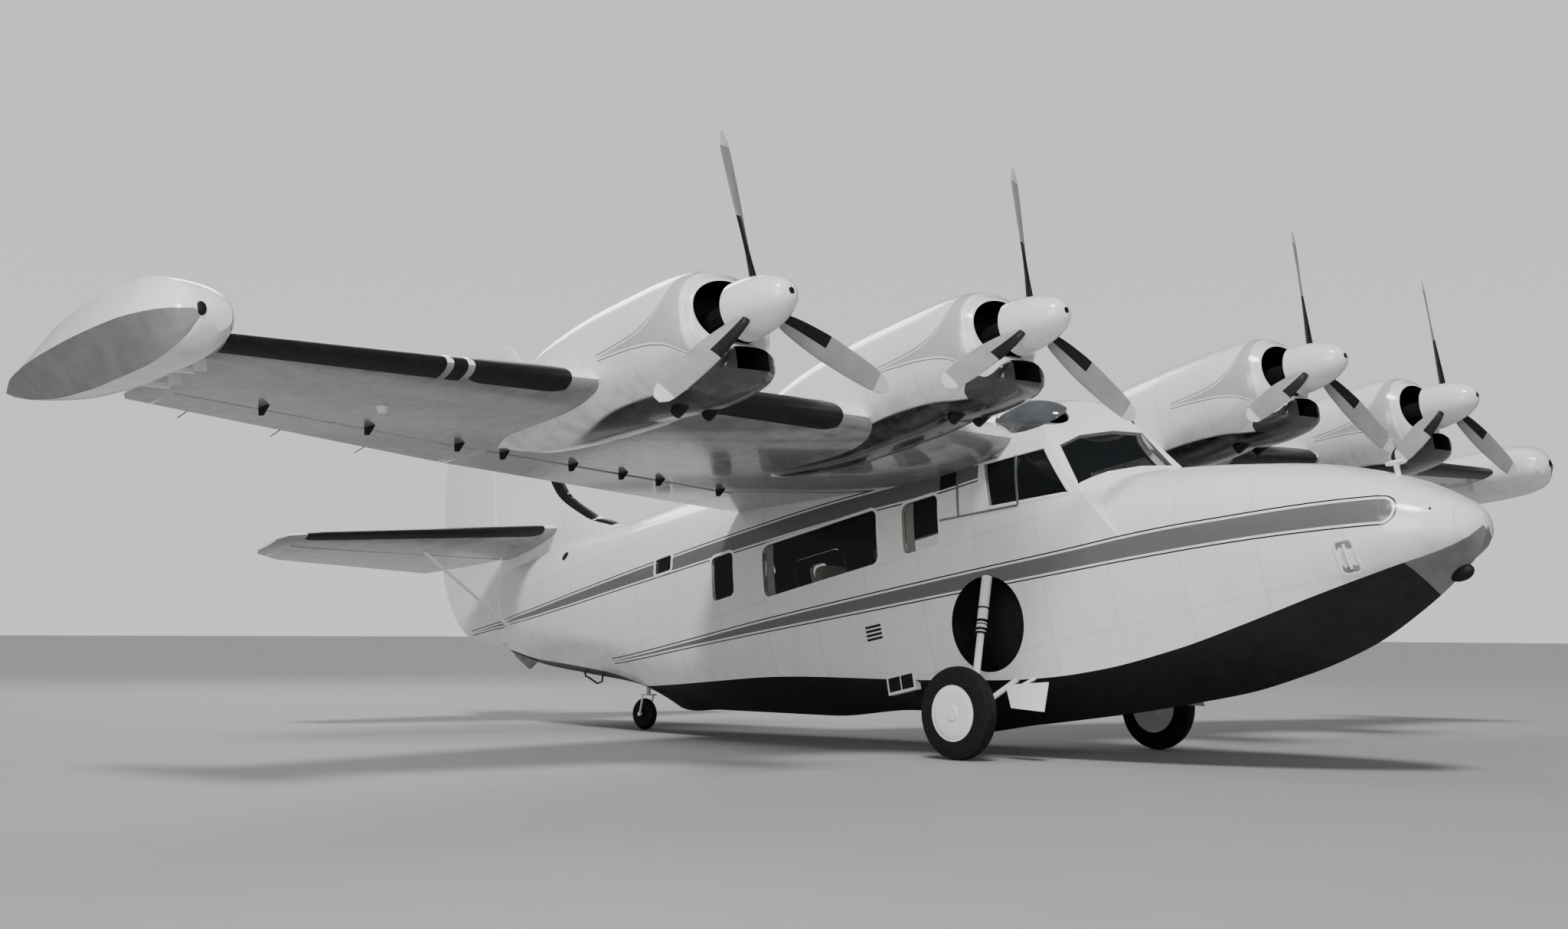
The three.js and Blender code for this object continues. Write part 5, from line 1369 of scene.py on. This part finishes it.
class BOAT_OT_propellers(bpy.types.Operator):
    """Builds propellers with spinners, root boots and pale tips"""

    bl_idname = "boat.propellers"
    bl_label = "Propellers"

    def execute(self, context):
        m = library()
        table = finer(BLADE_ROWS, 0.05)
        for name, x, s, h, phase, _sink, _stretch in ENGINES:
            verts, faces, ids = [], [], []
            # spinner, a body of revolution about the propeller's axis
            profile = []
            for i in range(25):
                t = i / 24 * math.pi / 2
                profile.append((SPINNER_RADIUS * math.sin(t) ** 0.78,
                                SPINNER_LENGTH * (1 - math.cos(t)) ** 0.92))
            profile += [(SPINNER_RADIUS - 0.004, SPINNER_LENGTH + 0.004), (0.05, SPINNER_LENGTH + 0.004),
                        (0.04, 0.545)]
            segments = 48
            n = len(profile)
            for k in range(segments):
                t = 2 * math.pi * k / segments
                verts += [(x + r * math.cos(t), s + d, h + r * math.sin(t)) for r, d in profile]
            for k in range(segments):
                j = (k + 1) % segments
                for i in range(n - 1):
                    faces.append((k * n + i, j * n + i, j * n + i + 1, k * n + i + 1))
                    ids.append(0 if profile[i][1] > 0.0015 else 3)
            for blade in range(3):
                turn = (phase - blade * 120) * RAD
                base = len(verts)
                ring = 20
                for radius, chord, thick, pitch in table:
                    for i in range(ring):
                        a = 2 * math.pi * i / ring
                        along = chord / 2 * math.cos(a)
                        off = thick / 2 * math.sin(a)
                        c, sn = math.cos(pitch * RAD), math.sin(pitch * RAD)
                        dx, ds = -c * along - sn * off, -sn * along + c * off
                        verts.append((x + dx * math.cos(turn) + radius * math.sin(turn), s + BLADE_PLANE + ds,
                                      h - dx * math.sin(turn) + radius * math.cos(turn)))
                for r in range(len(table) - 1):
                    radius = (table[r][0] + table[r + 1][0]) / 2
                    for i in range(ring):
                        j = (i + 1) % ring
                        faces.append((base + r * ring + i, base + r * ring + j, base + (r + 1) * ring + j,
                                      base + (r + 1) * ring + i))
                        leading = math.cos(2 * math.pi * (i + 0.5) / ring) > 0.15
                        ids.append(2 if radius > 1.06 else 3 if radius < 0.56 and leading else 1)
                faces.append(tuple(base + (len(table) - 1) * ring + i for i in range(ring)))
                ids.append(2)
            mesh = bpy.data.meshes.new("propeller")
            mesh.from_pydata(verts, [], faces)
            obj = bpy.data.objects.new("propeller", mesh)
            context.scene.collection.objects.link(obj)
            for _ in range(4):
                mesh.materials.append(None)
            mesh.polygons.foreach_set("material_index", ids)
            set_down(obj, f"propeller_skin_{name}", f"propeller_{name}_body",
                     [m["white"], m["blade"], m["tip"], m["boot"]], (f"propeller_{name}",), 40)
        return {"FINISHED"}


class BOAT_OT_floats(bpy.types.Operator):
    """Builds the tip floats that lie folded out beyond the wings"""

    bl_idname = "boat.floats"
    bl_label = "Floats"

    def execute(self, context):
        m = library()
        nose_s, nose_h, rise = FLOAT_NOSE
        for hand, side in HANDS:
            rings, arc = [], 14
            for ds, deck, keel, chine, half in finer(FLOAT_ROWS, 0.06):
                h = nose_h + rise * ds
                upper = [(chine + (deck - chine) * math.sin(t) ** 0.8, half * math.cos(t) ** 0.8)
                         for t in (i / arc * math.pi / 2 for i in range(arc + 1))]
                facet = [(keel + (chine - keel) * k / 4, half * k / 4) for k in range(4)]
                high = facet + upper
                low = [(x, -dh) for x, dh in high[1:-1]][::-1]
                rings.append([(side * x, nose_s + ds, h + dh) for x, dh in high + low])
            # the lower facet, from the chine down to the keel, is grey: painted shade of the white float
            ids = [0] * (len(rings[0]) - 4) + [1] * 4
            obj = skin("float", rings, ids)
            for s in (0.030, 0.340):
                boolean(obj, box(*sorted((side * 7.073, side * 7.315)), s + 0.001, s + 0.026, 2.457, 2.483),
                        "UNION")
                boolean(obj, rod((side * 7.085, s - 0.035, 2.470), (side * 7.085, s + 0.026, 2.470), 0.009),
                        "UNION")
            set_down(obj, f"float_skin_{hand}", f"float_{hand}_body", [m["white"], m["grey"]],
                     (f"float_{hand}",), 30)
            lamp = skin("lamp", [[(side * (7.405 + 0.030 * r * math.cos(t)), nose_s + 0.004 - d,
                                   2.583 + 0.042 * r * math.sin(t)) for t in
                                  (2 * math.pi * i / 24 for i in range(24))]
                                 for r, d in ((1.0, -0.02), (1.0, 0.0), (0.8, 0.012), (0.3, 0.018))])
            set_down(lamp, f"float_lamp_{hand}", f"float_{hand}_body", [m["black"]])
        return {"FINISHED"}


class BOAT_OT_tail(bpy.types.Operator):
    """Builds fin, rudder, tailplanes, elevators and struts"""

    bl_idname = "boat.tail"
    bl_label = "Tail"

    def execute(self, context):
        m = library()
        whole = foil_form(FIN_ROWS, upright, 0, pitch=0.08, smooth=True)
        hinge = Hinge(FIN_ROWS, upright, 0, *RUDDER)
        rudder = moving_part(whole, hinge)
        fin = boolean(whole, box(-1, 1, 4, 9, FIN_FOOT - 0.1, 6), "INTERSECT")
        make_room(fin, hinge)
        set_down(rudder, "rudder_skin", "rudder_body", [m["hull"]], ("rudder",))
        set_down(fin, "fin_skin", "airframe", [m["tail"]], ("fin",))
        boot = edge_boot(FIN_ROWS, upright, 0, 3.02, 4.95, 0.12, scallop=0.03, smooth=True)
        set_down(boot, "fin_boot", "airframe", [m["boot"]])
        for hand, side in HANDS:
            place = wing_place(side)
            form = foil_form(TAILPLANE_ROWS, place, 0, pitch=0.12)
            e = ELEVATOR
            hinge = Hinge(TAILPLANE_ROWS, place, 0, e["from"], e["to"], e["s"], e["s"], e["h"])
            elevator = moving_part(form, hinge)
            start, notch, s = e["from"], e["notch"], e["s"]
            inboard = skin("inboard", [[place(x, y, h) for x, y in (
                (-0.05, s - 0.4), (start, s - 0.4), (start, s + 0.03), (start + notch, s + 1.1),
                (-0.05, s + 1.1))] for h in (1.5, 5.0)])
            boolean(elevator, inboard)
            make_room(form, hinge)
            boolean(form, box(*sorted((side * -0.01, side * (start + 0.05))), s, s + 1.2, 1.5, 5.0))
            boolean(form, rod(hinge.at(start - END_GAP), hinge.at(start + 0.06), 0.092, 32))
            tube = rod(hinge.at(0.08), hinge.at(start + 0.06), 0.020)
            boolean(elevator, tube, "UNION")
            set_down(elevator, f"elevator_skin_{hand}", f"elevator_{hand}_body", [m["wing"]],
                     (f"elevator_{hand}",), under=m["belly"])
            set_down(form, f"tailplane_skin_{hand}", "airframe", [m["wing"]],
                     (f"tailplane_{hand}",), under=m["belly"])
            boot = edge_boot(TAILPLANE_ROWS, place, 0, 0.22, 2.55, 0.10, scallop=0.04)
            set_down(boot, f"tailplane_boot_{hand}", "airframe", [m["boot"]])
            rings = []
            for x, s1, h in ((0.150, 6.815, 2.325), (0.185, 6.815, 2.350), (1.170, 6.760, 3.085)):
                rings.append([(side * (x + 0.010 * math.sin(t)), s1 + 0.031 * math.cos(t), h)
                              for t in (2 * math.pi * i / 24 for i in range(24))])
            set_down(skin("strut", rings), f"strut_skin_{hand}", "airframe", [m["white"]],
                     (f"tail_strut_{hand}",))
        return {"FINISHED"}


def wheel_profile(radius, width, bead, bore, cap):
    """Section of a tyre on its wheel, as (radius, distance): rounded tread, bead and dished disc."""
    points = [(bore, cap * width), (bead * 0.30, cap * width), (bead * 0.36, width * 0.24),
              (bead * 0.92, width * 0.30)]
    for i in range(15):
        t = math.pi * i / 14
        grow = math.sin(t)
        full = 0.62 + 0.38 * math.sin(math.pi * min(1.0, abs(math.cos(t)) + 0.25))
        points.append((bead + (radius - bead) * grow ** 0.62, width * 0.5 * math.cos(t) * full))
    points += [(bead * 0.92, -width * 0.30), (bead * 0.36, -width * 0.24), (bead * 0.30, -cap * width),
               (bore, -cap * width)]
    return points


class BOAT_OT_gear(bpy.types.Operator):
    """Builds the tyres and discs of the main wheels"""

    bl_idname = "boat.gear"
    bl_label = "Landing gear"

    def execute(self, context):
        m = library()
        ground = Matrix.Translation((0, -SHIFT, 0))
        for hand, side in HANDS:
            points = wheel_profile(*TYRE, 0.026, 0.30)
            centre = (side * WHEEL_X, 0, TYRE[0])
            wheel = turned(points, centre, (side, 0, 0), 72)
            marks = [0 if math.hypot(p.center.y, p.center.z - TYRE[0]) > TYRE[2] * 0.97 else 1
                     for p in wheel.data.polygons]
            disc = skin("disc", [[(side * (WHEEL_X + d), r * math.cos(t), TYRE[0] + r * math.sin(t))
                                  for t in (2 * math.pi * i / 64 for i in range(64))]
                                 for d, r in ((0.050, 0.199), (0.062, 0.199), (0.068, 0.190), (0.071, 0.150),
                                              (0.072, 0.060), (0.080, 0.052), (0.082, 0.020))])
            verts = [tuple(v.co) for v in wheel.data.vertices]
            faces = [tuple(p.vertices) for p in wheel.data.polygons]
            count = len(verts)
            verts += [tuple(v.co) for v in disc.data.vertices]
            faces += [tuple(count + i for i in p.vertices) for p in disc.data.polygons]
            marks += [1] * len(disc.data.polygons)
            for old in (wheel, disc):
                bpy.data.objects.remove(old)
            both = solid("wheel", verts, faces, marks)
            set_down(both, f"wheel_skin_{hand}", f"main_wheel_{hand}_body", [m["tyre"], m["white"]],
                     (f"main_wheel_{hand}",), 35, ground)
        return {"FINISHED"}


class BOAT_OT_rivets(bpy.types.Operator):
    """Sets rivet heads round the windows, along the chine and at the main joints of the hull"""

    bl_idname = "boat.rivets"
    bl_label = "Rivets"

    def execute(self, context):
        m = library()
        s = settings(context)
        for hand, side in HANDS:
            found = []
            for window in windows_of(hand):
                outline = dense(rounded(window, 0.034), s.rivet_gap)
                found += [hull_point(side, a, b, RIVET_LIFT) for a, b in outline]
            outline = dense([tuple(p) for p in offset(COCKPIT_WINDOW, 0.034)], s.rivet_gap)
            found += [hull_point(side, a, b, RIVET_LIFT) for a, b in outline]
            for place, low, high in RIVET_ROWS:
                for row in (-0.012, 0.012):
                    found += [hull_point(side, place + row, h, RIVET_LIFT)
                              for h in np.arange(low, high, 0.04)]
            for a in np.arange(-3.2, 6.4, 0.045):
                rows = CABIN_FINE if a > -1.3 else BOW_FINE
                chine = float(np.interp(a, rows[:, 0], rows[:, 3]))
                found.append(hull_point(side, float(a), chine + 0.03, RIVET_LIFT))
            rivets(f"hull_rivets_{hand}", found, s.rivet, m["hull"])
        return {"FINISHED"}


class BOAT_OT_cabin(bpy.types.Operator):
    """Furnishes the cabin with soft seats, curtains and instruments"""

    bl_idname = "boat.cabin"
    bl_label = "Cabin"

    def execute(self, context):
        m = library()

        def floor_at(s):
            return float(np.interp(s, [p[0] for p in FLOOR_LINE], [p[1] for p in FLOOR_LINE])) + 0.0203

        for name, s, x, width in SEATS:
            level = max(floor_at(s - 0.060), floor_at(s + 0.160)) + 0.001
            for hand, side in HANDS:
                cx, half = side * x, width / 2
                base = [box(cx - half + 0.04, cx + half - 0.04, s - 0.05, s + 0.15, level, level + 0.30)]
                base += [box(*sorted((cx + e * (half - 0.03), cx + e * (half - 0.002))), s - 0.10, s + 0.24,
                             level + 0.27, level + 0.34) for e in (-1, 1)]
                set_down(joined("base", base), f"seat_base_{name}_{hand}", "airframe",
                         [m["grey"]], (f"{name}_{hand}",))
                pad = cushion(cx - half + 0.004, cx + half - 0.004, s - 0.250, s + 0.165, level + 0.306,
                              level + 0.428)
                set_down(pad, f"seat_cushion_{name}_{hand}", "airframe", [m["seat"]])
                back = cushion(-half + 0.004, half - 0.004, 0, 0.095, 0.0, 0.62)
                for v in back.data.vertices:
                    rib = 0.007 * abs(math.sin(v.co.z / 0.62 * math.pi * 7))
                    v.co.y += rib if v.co.y < 0.047 else 0.0
                    v.co.y += 0.130 * v.co.z + 0.175
                    v.co.x += cx
                    v.co.y += s - 0.010
                    v.co.z += level + 0.385
                set_down(back, f"seat_back_{name}_{hand}", "airframe", [m["seat"]])
        folds = settings(context).curtain_folds
        for hand, side in HANDS:
            for number, (s, h, a, b, _r) in enumerate(CABIN_WINDOWS):
                wide, tall = 0.085, 2 * b + 0.03
                rings, steps = [], folds * 12
                for k in range(8):
                    z = h + b + 0.015 - tall * k / 7
                    reach = hull_x(s + a - 0.04, z) - 0.062
                    front, back = [], []
                    for i in range(steps + 1):
                        u = i / steps
                        wave = 0.010 * math.sin(2 * math.pi * folds * u)
                        place = s + a + 0.012 - wide * u
                        front.append((side * (reach + wave), place, z))
                        back.append((side * (reach + wave - 0.0012), place, z))
                    rings.append(front + back[::-1])
                cloth = skin("curtain", rings)
                set_down(cloth, f"curtain_{hand}_{number + 1}", "airframe", [m["curtain"]])
        dress("instrument_panel", m["black"])
        dress("control_columns", m["black"])
        dials = []
        for x in (-0.47, -0.33, -0.19, 0.19, 0.33, 0.47):
            for h in (1.49, 1.62):
                dials.append(rod((x, -1.2619, h), (x, -1.2565, h), 0.047, 28))
        set_down(joined("dials", dials), "dials", "airframe", [m["lens"]])
        return {"FINISHED"}


class BOAT_OT_fittings(bpy.types.Operator):
    """Adds the small fittings on hull, wings, gear and tail"""

    bl_idname = "boat.fittings"
    bl_label = "Fittings"

    def execute(self, context):
        m = library()
        white, black, steel, rails = [], [], [], []
        # mooring bitt, landing lamp at the stem, cleat recesses
        bitt = rod((0, -3.290, 1.36), (0, -3.290, 1.489), 0.020)
        boolean(bitt, rod((0, -3.290, 1.486), (0, -3.290, 1.500), 0.072, 40), "UNION")
        set_down(bitt, "bitt", "airframe", [m["white"]])
        set_down(egg((0, -3.60, 0.665), (0.055, 0.100, 0.062)), "stem_lamp", "airframe",
                 [m["black"]])
        recesses = []
        for side in (1, -1):
            recess = rounded((-3.135, 0.857, 0.062, 0.112, 0.03))
            white.append(strip_on_hull(recess, side, 0.014, 0.006, pitch=0.02))
            # the recess is a flat grey plate inside a white rim: painted shade of the hollow
            recesses.append(plate(rounded((-3.135, 0.857, 0.050, 0.100, 0.02)), side, 0.004))
            lever = [hull_point(side, -3.14, h, 0.012)[0] for h in (0.78, 0.82, 0.86, 0.90, 0.94)]
            white.append(bar_along(lever, 0.011))
            # round vents at the bow
            for s, h, r, group in ((-3.565, 1.141, 0.014, white), (-3.657, 1.071, 0.009, black),
                                   (5.857, 2.170, 0.020, white), (2.659, 2.112, 0.014, white)):
                p, n = hull_point(side, s, h)
                group.append(rod(p - n * 0.004, p + n * 0.003, r, 20))
            # vent box under the chine, with two openings drawn as black patches on its face: painted shade
            white.append(box(*sorted((side * 0.690, side * 0.748)), 0.745, 1.050, 0.650, 0.805))
            for s in (0.765, 0.905):
                black.append(box(*sorted((side * 0.740, side * 0.7505)), s, s + 0.125, 0.672, 0.782))
            # slatted grille
            white.append(plate([(0.985, 1.040), (1.195, 1.060), (1.195, 1.235), (0.985, 1.225)], side, 0.004))
            for k in range(4):
                h = 1.105 + 0.033 * k
                black.append(plate([(1.005, h), (1.175, h + 0.004), (1.175, h + 0.022), (1.005, h + 0.018)],
                                   side, 0.009))
            rails += [strip_on_hull(line, side, 0.018, 0.012, closed=False) for line in WINDOW_RAILS]
            black.append(plate([(0.066, 2.126), (0.236, 2.126), (0.236, 2.244), (0.066, 2.244)], side, 0.003))
        p, n = hull_point(-1, 5.58, 2.795)
        black.append(rod(p - n * 0.004, p + n * 0.004, 0.046, 32))
        # grab handle and skeg under the tail
        handle_front, handle_back, skeg_front, skeg_back = (
            float(np.interp(s, CABIN_FINE[:, 0], CABIN_FINE[:, 1])) for s in (5.60, 5.88, 6.62, 7.02))
        path = [(5.60, handle_front + 0.01), (5.625, handle_front - 0.05), (5.70, handle_front - 0.055),
                (5.83, handle_back - 0.055), (5.87, handle_back - 0.04), (5.88, handle_back + 0.01)]
        black.append(bar_along([(0, s, h) for s, h in path], 0.009))
        outline = [(6.62, skeg_front + 0.02), (7.02, skeg_back + 0.02), (6.98, skeg_back - 0.045),
                   (6.78, skeg_front - 0.040)]
        steel.append(skin("skeg", [[(x, s, h) for s, h in outline] for x in (-0.012, 0.012)]))
        set_down(joined("white_fittings", white), "white_fittings", "airframe", [m["white"]])
        set_down(joined("rails", rails), "window_rails", "airframe", [m["frame"]])
        set_down(joined("recesses", recesses), "cleat_recesses", "airframe", [m["grey"]])
        set_down(joined("dark_fittings", black), "dark_fittings", "airframe", [m["black"]])
        set_down(joined("steel_fittings", steel), "steel_fittings", "airframe", [m["steel"]])
        for hand, side in HANDS:
            pieces, dark = [], []
            cone = rod((side * 5.560, 0.480, 2.535), (side * 5.560, 0.480, 2.458), 0.050, 32, 0.030)
            set_down(cone, f"tie_down_{hand}", "airframe", [m["white"]])
            for x in FAIRING_SPANS:
                row = row_at(WING_ROWS, x)
                s = row[1] + (row[3] - row[1]) * WING_HINGE
                middle, half = foil_at(row, s, WING_CAMBER)
                low = middle - half
                fin = [(s - 0.20, low + 0.012), (s - 0.050, low + 0.012), (s - 0.045, low - 0.055),
                       (s - 0.075, low - 0.060)]
                pieces.append(prism(fin, side * x - 0.011, side * x + 0.011))
            set_down(joined("hinge_fairings", pieces), f"hinge_fairings_{hand}", "airframe",
                     [m["black"]])
            for x in ROD_SPANS:
                _x, _s, _h, edge_s, edge_h, _thick = row_at(WING_ROWS, x)
                dark.append(rod((side * x, edge_s - 0.01, edge_h), (side * x, edge_s + 0.13, edge_h - 0.01),
                                0.0035, 8))
            set_down(joined("wicks", dark), f"static_wicks_{hand}", f"aileron_{hand}_body",
                     [m["black"]])
            # well door on its link, and the bands on the leg
            corners = ((0.860, -0.285, 0.507), (0.860, -0.690, 0.455), (0.960, -0.690, 0.240),
                       (0.930, -0.365, 0.322))
            door = skin("door", [[(side * (x + d), s, h) for x, s, h in corners] for d in (0.0, 0.014)])
            boolean(door, rod((side * 0.70, -0.45, 0.53), (side * 0.873, -0.45, 0.475), 0.014), "UNION")
            set_down(door, f"well_door_{hand}", "airframe", [m["white"]])
            bands = []
            head, knee = Vector((side * 0.790, -0.190, 1.345)), Vector((side * 1.045, -0.150, 0.560))
            for share, wide, grow in LEG_BANDS:
                a = head.lerp(knee, share)
                bands.append(rod(a, a + (knee - head).normalized() * wide, 0.040 + grow, 28))
            set_down(joined("bands", bands), f"leg_bands_{hand}", "airframe", [m["black"]])
            dress(f"main_leg_{hand}", m["white"])
        dress("tail_fork", m["white"])
        dress("tail_wheel", m["tyre"])
        return {"FINISHED"}


class BOAT_OT_stage(bpy.types.Operator):
    """Sets the floor, the light and the camera"""

    bl_idname = "boat.stage"
    bl_label = "Stage"

    def execute(self, context):
        scene = context.scene
        s = settings(context)
        size = 200.0
        mesh = bpy.data.meshes.new("floor")
        corners = [(-size, -size, 0), (size, -size, 0), (size, size, 0), (-size, size, 0)]
        mesh.from_pydata(corners, [], [(0, 1, 2, 3)])
        floor = bpy.data.objects.new("floor", mesh)
        scene.collection.objects.link(floor)
        made, tree, body = new_material("Studio floor")
        texture = put(tree, "ShaderNodeTexCoord")
        grain = noise(tree, texture.outputs["Object"], 3.0, 6.0)
        tone = tuple(s.floor_colour) + (1.0,)
        darker = tuple(c * 0.9 for c in s.floor_colour) + (1.0,)
        tree.links.new(mix(tree, grain, tone, darker), body.inputs["Base Color"])
        body.inputs["Roughness"].default_value = 0.75
        mesh.materials.append(made)
        world = bpy.data.worlds.new("Studio")
        scene.world = world
        world.use_nodes = True
        sky = world.node_tree
        sky.nodes.clear()
        out = put(sky, "ShaderNodeOutputWorld")
        coord = put(sky, "ShaderNodeTexCoord")
        up = put(sky, "ShaderNodeSeparateXYZ", {0: coord.outputs["Generated"]}).outputs[2]
        share = put(sky, "ShaderNodeMapRange", {0: up, 1: -0.1, 2: 0.7}).outputs[0]
        tint = mix(sky, share, (0.86, 0.86, 0.86, 1), (0.62, 0.63, 0.65, 1))
        # the backdrop looks brighter than it shines, as behind a lit set
        seen = put(sky, "ShaderNodeLightPath").outputs["Is Camera Ray"]
        power = put(sky, "ShaderNodeMapRange", {0: seen, 3: 0.34 * s.light_power, 4: 1.08 * s.light_power})
        back = put(sky, "ShaderNodeBackground", {"Color": tint, "Strength": power.outputs[0]})
        sky.links.new(back.outputs[0], out.inputs[0])
        # one broad, even light from above the bow, its width an angle, and two soft boxes in metres
        for name, kind, where, power, wide in (("key", "SUN", (-9, -8, 18), 3.1, 14 * RAD),
                                               ("fill", "AREA", (-16, -14, 7), 1500, 9.0),
                                               ("rim", "AREA", (4, 16, 14), 1800, 9.0)):
            data = bpy.data.lights.new(name, kind)
            data.energy = power * s.light_power
            setattr(data, "angle" if kind == "SUN" else "size", wide)
            lamp = bpy.data.objects.new(name, data)
            lamp.location = where
            lamp.rotation_euler = (-Vector(where)).to_track_quat("-Z", "Y").to_euler()
            scene.collection.objects.link(lamp)
        data = bpy.data.cameras.new("camera")
        data.sensor_width = 36
        data.lens = 48.78
        data.clip_end = 500
        camera = bpy.data.objects.new("camera", data)
        yaw, pitch, roll = 42.561 * RAD, 4.458 * RAD, 0.312 * RAD
        ahead = Vector((math.sin(yaw) * math.cos(pitch), math.cos(yaw) * math.cos(pitch), math.sin(pitch)))
        right0 = Vector((math.cos(yaw), -math.sin(yaw), 0))
        up0 = right0.cross(ahead)
        right = right0 * math.cos(roll) + up0 * math.sin(roll)
        up = up0 * math.cos(roll) - right0 * math.sin(roll)
        turn = Matrix((right, up, -ahead)).transposed().to_4x4()
        camera.matrix_world = Matrix.Translation((-12.797, -10.724 - SHIFT, 0.947)) @ turn
        scene.collection.objects.link(camera)
        scene.camera = camera
        return {"FINISHED"}


STEPS = (BOAT_OT_hull, BOAT_OT_glazing, BOAT_OT_wings, BOAT_OT_nacelles, BOAT_OT_propellers, BOAT_OT_floats,
         BOAT_OT_tail, BOAT_OT_gear, BOAT_OT_rivets, BOAT_OT_cabin, BOAT_OT_fittings, BOAT_OT_stage)


class BOAT_PT_panel(bpy.types.Panel):
    """Lists the pieces and their sizes"""

    bl_idname = "BOAT_PT_panel"
    bl_label = "Flying boat"
    bl_space_type = "VIEW_3D"
    bl_region_type = "UI"
    bl_category = "Flying boat"

    def draw(self, context):
        for name in Sizes.__annotations__:
            self.layout.prop(context.scene.flying_boat, name)
        for operator in STEPS:
            self.layout.operator(operator.bl_idname)


CLASSES = (Sizes, *STEPS, BOAT_PT_panel)


def register():
    for cls in CLASSES:
        bpy.utils.register_class(cls)
    bpy.types.Scene.flying_boat = PointerProperty(type=Sizes)


def unregister():
    del bpy.types.Scene.flying_boat
    for cls in reversed(CLASSES):
        bpy.utils.unregister_class(cls)


def main():
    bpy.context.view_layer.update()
    register()
    for operator in STEPS:
        group, name = operator.bl_idname.split(".")
        getattr(getattr(bpy.ops, group), name)()


if __name__ == "__main__":
    main()
